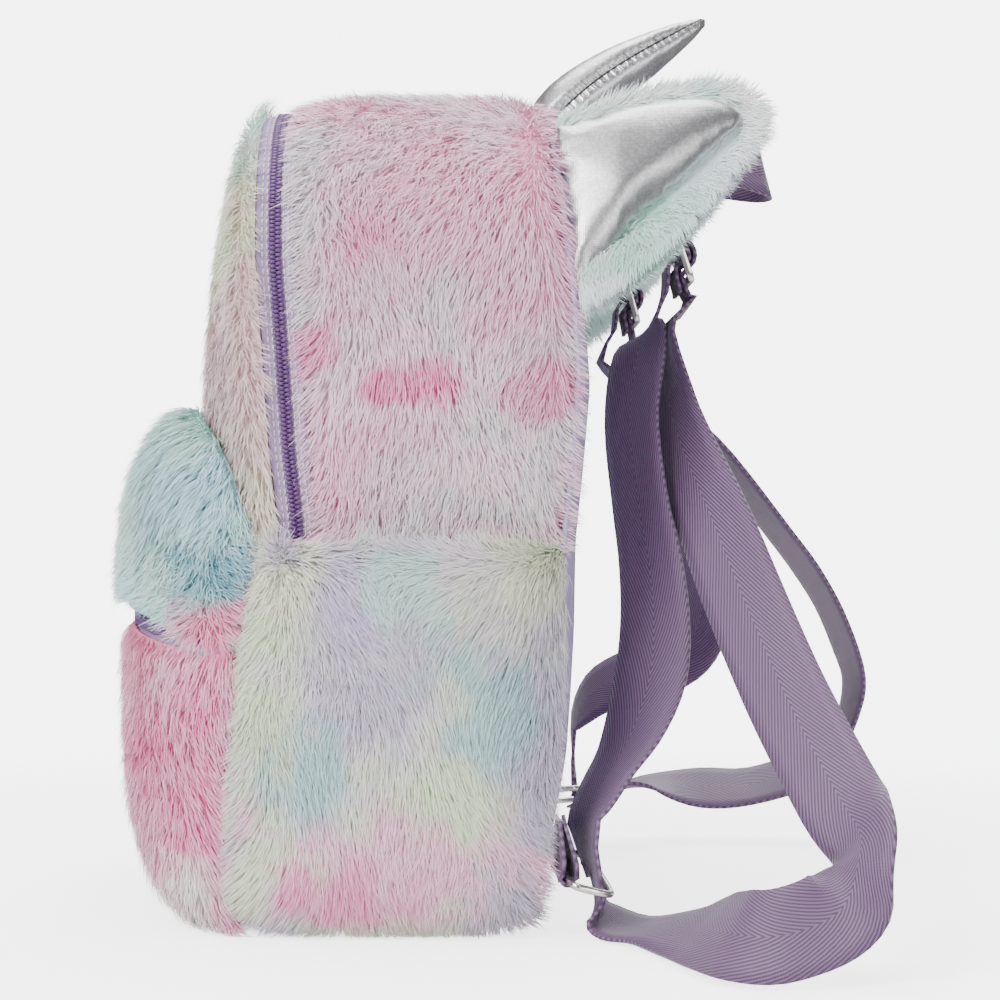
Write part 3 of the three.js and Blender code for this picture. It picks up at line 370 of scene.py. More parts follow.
LEFT_OUT = [
    (-0.180, 0.858, 0.705, 1.00, 0.02, 0.00), (-0.203, 0.982, 0.645, 0.99, 0.15, 0.00),
    (-0.233, 1.162, 0.577, 0.97, 0.20, 0.10), (-0.297, 1.404, 0.472, 0.97, 0.20, 0.10),
    (-0.339, 1.539, 0.411, 0.97, 0.20, 0.10), (-0.381, 1.656, 0.344, 0.98, 0.20, 0.05),
    (-0.424, 1.742, 0.269, 0.98, 0.20, 0.00), (-0.453, 1.756, 0.216, 0.97, 0.10, -0.20),
    (-0.475, 1.710, 0.163, 0.95, 0.00, -0.30), (-0.496, 1.580, 0.112, 0.90, 0.00, -0.43),
    (-0.513, 1.356, 0.083, 0.90, -0.05, -0.43), (-0.520, 1.151, 0.080, 0.88, -0.05, -0.47),
    (-0.515, 0.944, 0.085, 0.90, -0.05, -0.1), (-0.480, 0.790, 0.080, 0.95, -0.1, 0.2),
]
LEFT_BACK = [
    (-0.468, 0.620, 0.170, 0.90, 0, -0.20), (-0.450, 0.686, 0.220, 0.80, 0.05, -0.60),
    (-0.407, 0.809, 0.250, 0.75, 0.10, -0.65), (-0.364, 0.960, 0.270, 0.72, 0.31, -0.62),
    (-0.322, 1.073, 0.304, 0.70, 0.60, -0.40), (-0.284, 1.117, 0.355, 0.76, 0.65, 0.00),
    (-0.254, 1.088, 0.420, 0.80, 0.60, 0.00), (-0.225, 0.997, 0.497, 0.91, 0.41, 0.00),
    (-0.203, 0.900, 0.581, 0.95, 0.30, 0.00), (-0.186, 0.810, 0.664, 0.98, 0.20, 0.00),
]
HAUL_ROWS = [
    (0.115, 0.50, 0.980, 1, 0, 0), (0.117, 0.60, 0.983, 1, 0, 0), (0.117, 0.74, 0.983, 0.9, 0, -0.4),
    (0.11, 0.92, 0.975, 0.5, 0.1, -0.85), (0.09, 1.10, 0.960, 0.1, 0.2, -0.97), (0.05, 1.25, 0.947, 0.0, 0.25, -0.97),
]


def unit(vector):
    vector = np.array(vector, float)
    return vector / np.linalg.norm(vector)


class SliderFrame:
    """A strap slider's own directions: along is up the strap, away is off the bag."""

    def __init__(self, shares, along):
        self.centre = np.array(shares) * np.array([BAG_WIDTH, BAG_DEPTH, BAG_HEIGHT])
        self.width = np.array([1.0, 0, 0])
        self.along = unit(along)
        self.away = np.cross(self.along, self.width)

    def at(self, along, away):
        return self.centre + self.along * along + self.away * away

    def rows(self, pairs):
        return [station(self.at(along, away), self.width, 1) for along, away in pairs]


class RingFrame:
    """A bottom ring's own directions: long is along the webbing's width, span is from the tab to the strap."""

    def __init__(self, shares, long, span):
        self.centre = np.array(shares) * np.array([BAG_WIDTH, BAG_DEPTH, BAG_HEIGHT])
        self.long = unit(long)
        self.face = unit(np.cross(self.long, unit(span)))
        self.span = np.cross(self.face, self.long)

    def at(self, span, face, long=0):
        return self.centre + self.span * span + self.face * face + self.long * long


SLIDERS = {
    "right": SliderFrame((0.169, 0.946, 0.818), (0, -0.32, 0.947)),
    "left": SliderFrame((-0.169, 0.808, 0.788), (0, -0.28, 0.96)),
}
RINGS = {
    "right": RingFrame((0.447, 0.582, 0.0765), (0.96, 0.18, -0.21), (-0.225, 0.908, -0.251)),
    "left": RingFrame((-0.447, 0.582, 0.0765), (0.96, -0.1, 0.25), (0.08, 0.99, 0.1)),
}


def strap_rows(side, slider, ring, out_rows, back_rows):
    """One length of webbing: seam, slider, out and down, round the ring, back up and round the slider's bar."""
    t, g = WEBBING_WALL, SEAM_GAP
    face = SLIDER_WALL / 2 + g + t / 2
    over = WIRE / 2 + g + t / 2
    edge = SLIDER_SPAN / 2
    flat = (1, 0, 0)
    top_x, top_z = side * BAG_WIDTH * 0.178, BAG_HEIGHT * 0.966
    top_y = float(back_face_y(abs(top_x), top_z + t)) + g
    anchor = [
        station((top_x, top_y, top_z), flat, 3),
        station((top_x, BAG_DEPTH * 0.62, BAG_HEIGHT * 0.955), flat, 3),
        station((side * BAG_WIDTH * 0.174, BAG_DEPTH * 0.74, BAG_HEIGHT * 0.92), flat, 3),
    ]
    through = slider.rows([
        (edge * 1.9, -face), (edge + WIRE, -face), (edge - WIRE * 0.7, -face), (edge * 0.64, -t * 0.6),
        (edge * 0.43, over + t * 0.6), (0, over + t + g + t * 0.4), (-edge * 0.43, over + t * 0.6),
        (-edge * 0.64, -t * 0.6), (-edge + WIRE * 0.7, -face), (-edge - WIRE, -face), (-edge * 1.9, -face - t * 0.3),
    ])
    wrap = WIRE / 2 + g + t / 2
    round_bar = []
    for turn in np.linspace(-0.6, -1, 4) * math.pi:
        place = ring.at(RING_SPAN / 2 + wrap * math.cos(turn), wrap * math.sin(turn))
        round_bar.append(station(place, ring.long, 1))
    fold = slider.rows([
        (-edge * 2.1, -face - t * 11), (-edge - WIRE * 0.4, -face - t * 5), (-edge * 0.32, -over - t * 2.6),
        (0, -over), (over * 0.95, -over * 0.8), (over * 1.1, 0), (over * 0.95, over * 0.8), (0, over),
        (-over * 0.95, over * 0.8), (-over * 1.1, 0), (-edge * 0.46, -face - t), (-edge - WIRE * 0.4, -face - t * 1.6),
        (-edge - WIRE * 1.2, -face - t * 1.9),
    ])
    return anchor + through + share_rows(out_rows) + round_bar + share_rows(back_rows) + fold


def haul_rows():
    rows = share_rows(HAUL_ROWS)
    foot, width, steps = rows[0]
    foot[1] = back_face_y(foot[0], foot[2] + WEBBING_WALL) + SEAM_GAP
    tip = station((0, 1.285 * BAG_DEPTH, 0.943 * BAG_HEIGHT), (0, 0.25, -0.97))
    flip = np.array([-1, 1, 1])
    return rows + [tip] + [(place * flip, width * flip, steps) for place, width, steps in reversed(rows)]


def tab_rows(ring):
    """A short fold of webbing from the back seam round the ring's near bar."""
    bar = -RING_SPAN / 2
    r = WIRE / 2 + WEBBING_WALL / 2 + SEAM_GAP
    top = BAG_HEIGHT * 0.138
    foot = back_y(top) + SEAM_GAP * 3 + TWILL_WALL + BACK_BULGE * 0.3 + WEBBING_WALL / 2
    x = ring.at(bar, 0)[0]
    flat = (1, 0, 0)
    rows = [station((x, foot, top), flat, 1), station(ring.at(bar - r, r), ring.long, 1)]
    for turn in np.linspace(1, 2, 7) * math.pi:
        rows.append(station(ring.at(bar + r * math.cos(turn), r * math.sin(turn)), ring.long, 1))
    rows.append(station(ring.at(bar + r * 0.9, r * 1.3), ring.long, 1))
    return rows + [station((x, foot + WEBBING_WALL + SEAM_GAP, top), flat, 1)]


# Meshes
def inside_of(points):
    return points.reshape(-1, 3).mean(axis=0)


def link(name, mesh, material):
    mesh.materials.append(material)
    obj = bpy.data.objects.new(name, mesh)
    bpy.context.scene.collection.objects.link(obj)
    return obj


def bent_grid(name, points, material, centre=None):
    """A grid of faces bent into place, measured in metres in its UV map, facing away from the centre."""
    rows, columns = points.shape[:2]
    lengths = np.linalg.norm(np.diff(points, axis=0), axis=2).mean(axis=1)
    widths = np.linalg.norm(np.diff(points, axis=1), axis=2).mean(axis=0)
    along = np.concatenate([[0], np.cumsum(lengths)]) * MM
    across = np.concatenate([[0], np.cumsum(widths)]) * MM
    bm = bmesh.new()
    uv = bm.loops.layers.uv.new("UVMap")
    bmesh.ops.create_grid(bm, x_segments=rows - 1, y_segments=columns - 1, size=0.5)
    place = {}
    for v in bm.verts:
        place[v] = (round((v.co.x + 0.5) * (rows - 1)), round((v.co.y + 0.5) * (columns - 1)))
    for face in bm.faces:
        for loop in face.loops:
            i, j = place[loop.vert]
            loop[uv].uv = (along[i], across[j])
    for v, (i, j) in place.items():
        v.co = points[i, j] * MM
    bmesh.ops.remove_doubles(bm, verts=bm.verts, dist=2e-5)
    bmesh.ops.dissolve_degenerate(bm, dist=1e-6, edges=bm.edges)
    middle = Vector((inside_of(points) if centre is None else np.array(centre)) * MM)
    bm.normal_update()
    if sum((f.calc_center_median() - middle).dot(f.normal) * f.calc_area() for f in bm.faces) < 0:
        bmesh.ops.reverse_faces(bm, faces=bm.faces)
    for face in bm.faces:
        face.smooth = True
    mesh = bpy.data.meshes.new(name)
    bm.to_mesh(mesh)
    bm.free()
    return link(name, mesh, material)


def thicken(obj, wall, offset=-1.0):
    solid = obj.modifiers.new("Wall", "SOLIDIFY")
    solid.thickness = wall * MM
    solid.offset = offset
    return obj


def joined_arrays(name, corners, faces_of_four, faces_of_three, material, strand=None, normals=None):
    """One mesh from arrays of corners and faces, with an optional UV pair for each corner."""
    mesh = bpy.data.meshes.new(name)
    quads, tris = len(faces_of_four), len(faces_of_three)
    loops = np.concatenate([faces_of_four.ravel(), faces_of_three.ravel()]).astype(np.int32)
    mesh.vertices.add(len(corners))
    mesh.vertices.foreach_set("co", (corners * MM).astype(np.float32).ravel())
    mesh.loops.add(len(loops))
    mesh.loops.foreach_set("vertex_index", loops)
    mesh.polygons.add(quads + tris)
    starts = np.concatenate([np.arange(quads) * 4, quads * 4 + np.arange(tris) * 3]).astype(np.int32)
    mesh.polygons.foreach_set("loop_start", starts)
    mesh.update(calc_edges=True)
    mesh.polygons.foreach_set("use_smooth", np.ones(quads + tris, bool))
    if strand is not None:
        layer = mesh.uv_layers.new(name="UVMap")
        layer.data.foreach_set("uv", strand[loops].astype(np.float32).ravel())
    if normals is not None:
        mesh.normals_split_custom_set_from_vertices(normals.astype(np.float32))
    return link(name, mesh, material)


# Fur
def surface_normals(points, centre):
    du = np.gradient(points, axis=0)
    dv = np.gradient(points, axis=1)
    normal = np.cross(du, dv)
    size = np.linalg.norm(normal, axis=2, keepdims=True)
    normal = normal / np.maximum(size, 1e-9)
    middle = inside_of(points) if centre is None else np.array(centre)
    facing = ((points - middle) * normal * size).sum()
    return normal if facing > 0 else -normal


def edge_pull(points, first, last, end):
    """Directions over a grid's edges, strong at the edge and gone a little way in: first and last column, last row."""
    across, along = np.gradient(points, axis=1), np.gradient(points, axis=0)
    across /= np.maximum(np.linalg.norm(across, axis=2, keepdims=True), 1e-9)
    along /= np.maximum(np.linalg.norm(along, axis=2, keepdims=True), 1e-9)
    share, rise = np.linspace(0, 1, points.shape[1]), np.linspace(0, 1, points.shape[0])
    side = last * np.clip(share / 0.1 - 9, 0, 1) - first * np.clip(1 - share / 0.1, 0, 1)
    return across * side[None, :, None] + along * (end * np.clip(rise / 0.1 - 9, 0, 1))[:, None, None]


def drift(places, scale, seed):
    """A slow wandering direction, different at each place."""
    phase = np.array([1.7, 4.1, 2.6]) * (seed + 1)
    a = np.sin(places @ np.array([0.9, 0.4, 0.7]) / scale + phase[0])
    b = np.sin(places @ np.array([-0.5, 0.8, 0.6]) / scale * 1.3 + phase[1])
    c = np.sin(places @ np.array([0.3, -0.7, 0.9]) / scale * 0.8 + phase[2])
    return np.stack([a, b, c], axis=-1)


def pile(name, points, count, seed, material, length=11.0, width=0.62, stand=0.5, swirl=0.45, clump=0.42,
         per_clump=15, nap=(0, -0.35, -1), centre=None, keep=None, fringe=(0, 0, 0)):
    """Fur as one joined mesh: bent blades rooted on a grid of points, leaning with the nap and drawn into tufts."""
    rng = np.random.default_rng(seed)
    normals = surface_normals(points, centre)
    sides = np.cross(points[1:, :-1] - points[:-1, :-1], points[:-1, 1:] - points[:-1, :-1])
    area = np.linalg.norm(sides, axis=2)
    if keep is not None:
        area = area * keep[:-1, :-1]
    chance = (area / area.sum()).ravel()
    cell = rng.choice(chance.size, size=count, p=chance)
    i, j = np.unravel_index(cell, area.shape)
    u, v = rng.random(count)[:, None], rng.random(count)[:, None]

    def between(values):
        low = values[i, j] * (1 - u) + values[i + 1, j] * u
        high = values[i, j + 1] * (1 - u) + values[i + 1, j + 1] * u
        return low * (1 - v) + high * v

    root = between(points)
    normal = between(normals)
    spill = between(edge_pull(points, *fringe))
    normal /= np.linalg.norm(normal, axis=1)[:, None]
    leaders = rng.choice(count, size=max(count // per_clump, 4), replace=False)
    tree = kdtree.KDTree(len(leaders))
    for k, index in enumerate(leaders):
        tree.insert(root[index], k)
    tree.balance()
    tuft = np.array([tree.find(place)[1] for place in root])

    def lean(at, facing, jitter):
        way = np.array(nap, float) + drift(at, 34.0, seed) * swirl + drift(at, 11.0, seed + 3) * swirl * 0.7 + jitter
        way = way - facing * (way * facing).sum(axis=1)[:, None]
        return way / np.maximum(np.linalg.norm(way, axis=1), 1e-6)[:, None]

    tuft_lean = lean(root[leaders], normal[leaders], rng.normal(0, 0.3, (len(leaders), 3)) + spill[leaders])
    tuft_stand = np.clip(stand + rng.normal(0, 0.14, len(leaders)), 0.15, 0.9)
    tuft_length = length * np.clip(1 + rng.normal(0, 0.13, len(leaders)), 0.6, 1.4)
    way = lean(root, normal, rng.normal(0, 0.34, (count, 3)) + spill)
    rise = np.clip(stand + rng.normal(0, 0.12, count), 0.1, 0.95)[:, None]
    size = (length * np.clip(1 + rng.normal(0, 0.16, count), 0.5, 1.5))[:, None]
    middle = root + (normal * (rise + 0.25) + way * (1 - rise * 0.6)) * size * 0.45
    tip = middle + (normal * (rise - 0.28) + way) * size * 0.5
    leader = leaders[tuft]
    heart = root[leader] + (normal[leader] * (tuft_stand[tuft, None] * 0.8) + tuft_lean[tuft]) * tuft_length[tuft, None]
    tip = tip + (heart - tip) * clump * rng.uniform(0.35, 1.0, count)[:, None]
    middle = middle + (heart - middle) * clump * 0.28
    drop = ((tip - root) * normal).sum(axis=1)[:, None]
    tip = tip + normal * np.clip(0.6 - drop, 0, None)
    run = tip - root
    flat = np.cross(run, normal)
    flat /= np.maximum(np.linalg.norm(flat, axis=1), 1e-6)[:, None]
    twist = rng.uniform(-0.9, 0.9, count)[:, None]
    flat = flat + normal * np.sin(twist) * 0.6
    flat = flat / np.linalg.norm(flat, axis=1)[:, None] * (width * rng.uniform(0.7, 1.3, count)[:, None]) / 2
    corners = np.stack([root - flat, root + flat, middle + flat * 0.8, middle - flat * 0.8, tip], axis=1)
    corners[..., 2] = np.maximum(corners[..., 2], FLOOR_GAP)
    base = np.arange(count)[:, None] * 5
    fours = base + np.array([0, 1, 2, 3])
    threes = base + np.array([3, 2, 4])
    if (np.cross(corners[:, 1] - corners[:, 0], corners[:, 2] - corners[:, 0]) * normal).sum() < 0:
        fours, threes = fours[:, ::-1], threes[:, ::-1]
    shade = rng.random(count)
    strand = np.stack([np.repeat(shade[:, None], 5, axis=1), np.tile([0.02, 0.02, 0.5, 0.5, 0.98], (count, 1))], axis=-1)
    own = np.cross(flat, run)
    own *= np.sign((own * normal).sum(axis=1))[:, None]
    own /= np.maximum(np.linalg.norm(own, axis=1), 1e-6)[:, None]
    blend = normal * 0.6 + own * 0.4
    blend /= np.linalg.norm(blend, axis=1)[:, None]
    return joined_arrays(name, corners.reshape(-1, 3), fours, threes, material, strand.reshape(-1, 2),
                         np.repeat(blend, 5, axis=0))


def small_boxes(name, centres, ways, sizes, material):
    """Many small blocks as one joined mesh. Ways holds the three directions of each block, sizes its half sizes."""
    signs = np.array([(x, y, z) for z in (-1, 1) for y in (-1, 1) for x in (-1, 1)], float)
    corners = centres[:, None, :] + np.einsum("kc,ncd->nkd", signs * np.array(sizes), ways)
    faces = np.array([(0, 2, 3, 1), (4, 5, 7, 6), (0, 1, 5, 4), (2, 6, 7, 3), (0, 4, 6, 2), (1, 3, 7, 5)])
    fours = (np.arange(len(centres))[:, None, None] * 8 + faces).reshape(-1, 4)
    flip = np.linalg.det(ways) < 0
    fours = fours.reshape(len(centres), 6, 4)
    fours[flip] = fours[flip][:, :, ::-1]
    return joined_arrays(name, corners.reshape(-1, 3), fours.reshape(-1, 4), np.zeros((0, 3), int), material)


# Materials
def socket(group, name, way, kind, default=None):
    made = group.interface.new_socket(name=name, in_out=way, socket_type=kind)
    if default is not None:
        made.default_value = default
    return made


def add(tree, kind, **values):
    node = tree.nodes.new(kind)
    for key, value in values.items():
        if key in node.inputs:
            node.inputs[key].default_value = value
        else:
            setattr(node, key, value)
    return node


def maths(tree, operation, first, second=None, clamp=False):
    node = add(tree, "ShaderNodeMath", operation=operation, use_clamp=clamp)
    for k, value in enumerate((first, second)):
        if value is None:
            continue
        if isinstance(value, (int, float)):
            node.inputs[k].default_value = value
        else:
            tree.links.new(value, node.inputs[k])
    return node.outputs[0]


def blend_colour(tree, share, low, high, mode="MIX"):
    node = add(tree, "ShaderNodeMix", data_type="RGBA", blend_type=mode)
    for place, value in ((0, share), (6, low), (7, high)):
        if isinstance(value, (int, float, tuple)):
            node.inputs[place].default_value = value
        else:
            tree.links.new(value, node.inputs[place])
    return node.outputs[2]


def noise(tree, vector, scale, detail=2.0, offset=None):
    node = add(tree, "ShaderNodeTexNoise", Scale=scale, Detail=detail)
    if offset is not None:
        shift = add(tree, "ShaderNodeVectorMath", operation="ADD")
        tree.links.new(vector, shift.inputs[0])
        shift.inputs[1].default_value = offset
        vector = shift.outputs[0]
    tree.links.new(vector, node.inputs["Vector"])
    return node.outputs["Fac"]


def ramp(tree, value, low, high):
    node = add(tree, "ShaderNodeMapRange", interpolation_type="SMOOTHSTEP")
    node.inputs["From Min"].default_value = low
    node.inputs["From Max"].default_value = high
    tree.links.new(value, node.inputs["Value"])
    return node.outputs["Result"]


def dye_group():
    """Three dyes that run into each other in soft clouds."""
    tree = bpy.data.node_groups.new("Tie dye", "ShaderNodeTree")
    socket(tree, "Vector", "INPUT", "NodeSocketVector")
    for name in ("First", "Second", "Third"):
        socket(tree, name, "INPUT", "NodeSocketColor")
    socket(tree, "Scale", "INPUT", "NodeSocketFloat", 12.0)
    socket(tree, "Colour", "OUTPUT", "NodeSocketColor")
    inner, outer = add(tree, "NodeGroupInput"), add(tree, "NodeGroupOutput")
    clouds = []
    for offset in ((0.0, 0.0, 0.0), (3.1, 1.7, 5.3)):
        shift = add(tree, "ShaderNodeVectorMath", operation="ADD")
        tree.links.new(inner.outputs["Vector"], shift.inputs[0])
        shift.inputs[1].default_value = offset
        cloud = add(tree, "ShaderNodeTexNoise", Detail=3.0, Roughness=0.6)
        tree.links.new(shift.outputs[0], cloud.inputs["Vector"])
        tree.links.new(inner.outputs["Scale"], cloud.inputs["Scale"])
        clouds.append(ramp(tree, cloud.outputs["Fac"], 0.42, 0.62))
    mixed = blend_colour(tree, clouds[0], inner.outputs["First"], inner.outputs["Second"])
    mixed = blend_colour(tree, clouds[1], mixed, inner.outputs["Third"])
    tree.links.new(mixed, outer.inputs["Colour"])
    return tree


def patch_group():
    """One soft-edged patch of dye round a place."""
    tree = bpy.data.node_groups.new("Dye patch", "ShaderNodeTree")
    socket(tree, "Vector", "INPUT", "NodeSocketVector")
    socket(tree, "Colour", "INPUT", "NodeSocketColor")
    socket(tree, "Patch", "INPUT", "NodeSocketColor")
    socket(tree, "Centre", "INPUT", "NodeSocketVector")
    socket(tree, "Size", "INPUT", "NodeSocketVector", (0.02, 0.02, 0.02))
    socket(tree, "Strength", "INPUT", "NodeSocketFloat", 1.0)
    socket(tree, "Colour", "OUTPUT", "NodeSocketColor")
    inner, outer = add(tree, "NodeGroupInput"), add(tree, "NodeGroupOutput")
    away = add(tree, "ShaderNodeVectorMath", operation="SUBTRACT")
    tree.links.new(inner.outputs["Vector"], away.inputs[0])
    tree.links.new(inner.outputs["Centre"], away.inputs[1])
    share = add(tree, "ShaderNodeVectorMath", operation="DIVIDE")
    tree.links.new(away.outputs[0], share.inputs[0])
    tree.links.new(inner.outputs["Size"], share.inputs[1])
    length = add(tree, "ShaderNodeVectorMath", operation="LENGTH")
    tree.links.new(share.outputs[0], length.inputs[0])
    ragged = noise(tree, inner.outputs["Vector"], 48.0, 4.0)
    edge = maths(tree, "ADD", length.outputs["Value"], maths(tree, "MULTIPLY", maths(tree, "SUBTRACT", ragged, 0.5), 3.2))
    mask = maths(tree, "SUBTRACT", 1.0, ramp(tree, edge, 0.35, 1.25))
    mask = maths(tree, "MULTIPLY", mask, inner.outputs["Strength"])
    tree.links.new(blend_colour(tree, mask, inner.outputs["Colour"], inner.outputs["Patch"]), outer.inputs["Colour"])
    return tree


def strand_group():
    """Shading along a blade of fur: shadowed root, pale tip and a little difference from blade to blade."""
    tree = bpy.data.node_groups.new("Strand", "ShaderNodeTree")
    socket(tree, "UV", "INPUT", "NodeSocketVector")
    socket(tree, "Colour", "INPUT", "NodeSocketColor")
    socket(tree, "Root", "INPUT", "NodeSocketFloat", 0.55)
    socket(tree, "Colour", "OUTPUT", "NodeSocketColor")
    inner, outer = add(tree, "NodeGroupInput"), add(tree, "NodeGroupOutput")
    parts = add(tree, "ShaderNodeSeparateXYZ")
    tree.links.new(inner.outputs["UV"], parts.inputs[0])
    along = ramp(tree, parts.outputs["Y"], 0.0, 0.75)
    dark = blend_colour(tree, 1.0, inner.outputs["Colour"], inner.outputs["Colour"], "MULTIPLY")
    dark = blend_colour(tree, inner.outputs["Root"], dark, inner.outputs["Colour"])
    shaded = blend_colour(tree, along, dark, inner.outputs["Colour"])
    tip = maths(tree, "MULTIPLY", ramp(tree, parts.outputs["Y"], 0.6, 1.0), 0.22)
    pale = blend_colour(tree, tip, shaded, (0.97, 0.97, 0.98, 1))
    fleck = maths(tree, "MULTIPLY", ramp(tree, parts.outputs["X"], 0.8, 0.82), 0.25)
    pale = blend_colour(tree, fleck, pale, (0.95, 0.95, 0.97, 1))
    tree.links.new(pale, outer.inputs["Colour"])
    return tree


def weave_group():
    """Crossing threads on a cloth's own UV map, in metres: Slant turns them to a twill or a chevron."""
    tree = bpy.data.node_groups.new("Weave", "ShaderNodeTree")
    socket(tree, "UV", "INPUT", "NodeSocketVector")
    socket(tree, "Pitch", "INPUT", "NodeSocketFloat", 0.001)
    socket(tree, "Slant", "INPUT", "NodeSocketFloat", 1.0)
    socket(tree, "Band", "INPUT", "NodeSocketFloat", 0.0075)
    socket(tree, "Height", "OUTPUT", "NodeSocketFloat")
    inner, outer = add(tree, "NodeGroupInput"), add(tree, "NodeGroupOutput")
    parts = add(tree, "ShaderNodeSeparateXYZ")
    tree.links.new(inner.outputs["UV"], parts.inputs[0])
    folded = maths(tree, "PINGPONG", parts.outputs["Y"], inner.outputs["Band"])
    slanted = maths(tree, "ADD", parts.outputs["X"], maths(tree, "MULTIPLY", folded, inner.outputs["Slant"]))
    turn = maths(tree, "MULTIPLY", maths(tree, "DIVIDE", slanted, inner.outputs["Pitch"]), 2 * math.pi)
    wave = maths(tree, "MULTIPLY", maths(tree, "ADD", maths(tree, "SINE", turn), 1.0), 0.5)
    tree.links.new(wave, outer.inputs["Height"])
    return tree


GROUPS = {}


def group_node(tree, name, **values):
    if name not in GROUPS:
        made = {"Tie dye": dye_group, "Dye patch": patch_group, "Strand": strand_group, "Weave": weave_group}
        GROUPS[name] = made[name]()
    node = tree.nodes.new("ShaderNodeGroup")
    node.node_tree = GROUPS[name]
    for key, value in values.items():
        if hasattr(value, "is_output"):
            tree.links.new(value, node.inputs[key])
        else:
            node.inputs[key].default_value = value
    return node.outputs[0]


def new_material(name, **values):
    material = bpy.data.materials.new(name)
    material.use_nodes = True
    surface = material.node_tree.nodes["Principled BSDF"]
    for key, value in values.items():
        surface.inputs[key.replace("_", " ")].default_value = value
    return material, material.node_tree, surface


def relief(tree, surface, height, strength, distance):
    bump = add(tree, "ShaderNodeBump", Strength=strength, Distance=distance)
    tree.links.new(height, bump.inputs["Height"])
    tree.links.new(bump.outputs["Normal"], surface.inputs["Normal"])


# Soft patches of dye: centre in millimetres, radii in millimetres, colour name, strength
DYES = {
    "plush": {
        "clouds": ("pink", "white_pink", "grey_white"), "scale": 13.0,
        "patches": [
            ((118, -11, 251), (60, 17, 13), "hot_pink", 0.6), ((118, -28, 209), (60, 13, 12), "hot_pink", 0.7),
            ((118, -4, 196), (60, 20, 9), "hot_pink", 0.9), ((118, 46, 193), (60, 14, 10), "hot_pink", 0.6),
            ((118, 8, 272), (60, 44, 18), "pink", 0.95), ((118, 17, 226), (60, 18, 13), "grey_white", 0.8),
            ((118, 26, 166), (60, 30, 13), "white_pink", 0.9), ((-118, 10, 235), (60, 24, 14), "hot_pink", 0.7),
            ((-118, -10, 180), (60, 18, 20), "mint", 0.6), ((0, 10, 305), (40, 30, 30), "white_pink", 0.7),
        ],
    },
    "front": {
        "clouds": ("beige_pink", "white_pink", "cream"), "scale": 11.0,
        "patches": [
            ((0, -60, 285), (150, 60, 22), "mint", 0.95), ((40, -70, 250), (120, 60, 16), "pale_green", 0.9),
            ((0, -90, 205), (150, 60, 26), "beige_pink", 0.8), ((-60, -80, 220), (40, 60, 30), "lilac", 0.6),
        ],
    },
    "pocket": {
        "clouds": ("rose", "pink", "hot_pink"), "scale": 14.0,
        "patches": [
            ((60, -90, 10), (90, 60, 20), "cream_white", 0.95), ((90, -80, 60), (30, 30, 18), "hot_pink", 0.8),
            ((80, -110, 92), (40, 30, 12), "rose", 0.8), ((-60, -100, 50), (40, 50, 30), "white_pink", 0.7),
        ],
    },
    "hood": {
        "clouds": ("ice", "ice", "mint"), "scale": 15.0,
        "patches": [
            ((90, -66, 130), (60, 22, 18), "teal", 0.85), ((90, -80, 182), (100, 60, 12), "mint", 0.8),
            ((0, -118, 165), (60, 30, 20), "white_blue", 0.8), ((100, -66, 110), (60, 24, 11), "rose", 1.0),
        ],
    },
    "side": {
        "clouds": ("lilac_white", "pale_green", "lilac_grey"), "scale": 14.0,
        "patches": [
            ((131, -38, 128), (60, 16, 15), "cream", 0.95), ((131, 42, 124), (60, 16, 20), "cream", 0.9),
            ((131, -17, 120), (60, 12, 16), "lilac", 0.8), ((131, 3, 124), (60, 14, 14), "mint", 0.85),
            ((131, -8, 82), (60, 26, 20), "lilac_grey", 0.95), ((131, -31, 56), (60, 16, 22), "teal_pale", 0.9),
            ((131, 35, 84), (60, 22, 22), "teal_pale", 0.8), ((131, -5, 24), (60, 60, 24), "pink", 1.0),
            ((131, -22, 18), (60, 26, 14), "hot_pink", 0.7), ((-131, 20, 60), (60, 30, 30), "mint", 0.8),
            ((-131, -20, 100), (60, 30, 24), "lilac", 0.8), ((-131, 0, 20), (60, 60, 20), "pink", 0.8),
        ],
    },
    "ear": {
        "clouds": ("mint", "white", "white_blue"), "scale": 16.0,
        "patches": [((0, 130, 305), (140, 36, 26), "white", 0.95), ((80, 75, 240), (60, 34, 16), "mint", 0.7),
                    ((-80, 75, 240), (60, 34, 16), "mint", 0.7)],
    },
}


def dyed(tree, kind, colours):
    """The dyed colour of one kind of plush on Object coordinates."""
    recipe = DYES[kind]
    place = add(tree, "ShaderNodeTexCoord").outputs["Object"]
    first, second, third = (tuple(getattr(colours, name)) + (1,) for name in recipe["clouds"])
    colour = group_node(tree, "Tie dye", Vector=place, First=first, Second=second, Third=third, Scale=recipe["scale"])
    for centre, size, name, strength in recipe["patches"]:
        colour = group_node(
            tree, "Dye patch", Vector=place, Colour=colour, Patch=tuple(getattr(colours, name)) + (1,),
            Centre=tuple(c * MM for c in centre), Size=tuple(s * MM for s in size), Strength=strength)
    return place, colour


def fur_material(kind):
    colours = bpy.context.scene.backpack_colours
    material, tree, surface = new_material(f"{kind} fur", Roughness=0.75, Specular_IOR_Level=0.25)
    place, colour = dyed(tree, kind, colours)
    uv = add(tree, "ShaderNodeUVMap", uv_map="UVMap").outputs["UV"]
    tree.links.new(group_node(tree, "Strand", UV=uv, Colour=colour, Root=0.3), surface.inputs["Base Color"])
    surface.inputs["Sheen Weight"].default_value = 0.25
    surface.inputs["Sheen Roughness"].default_value = 0.5
    return material


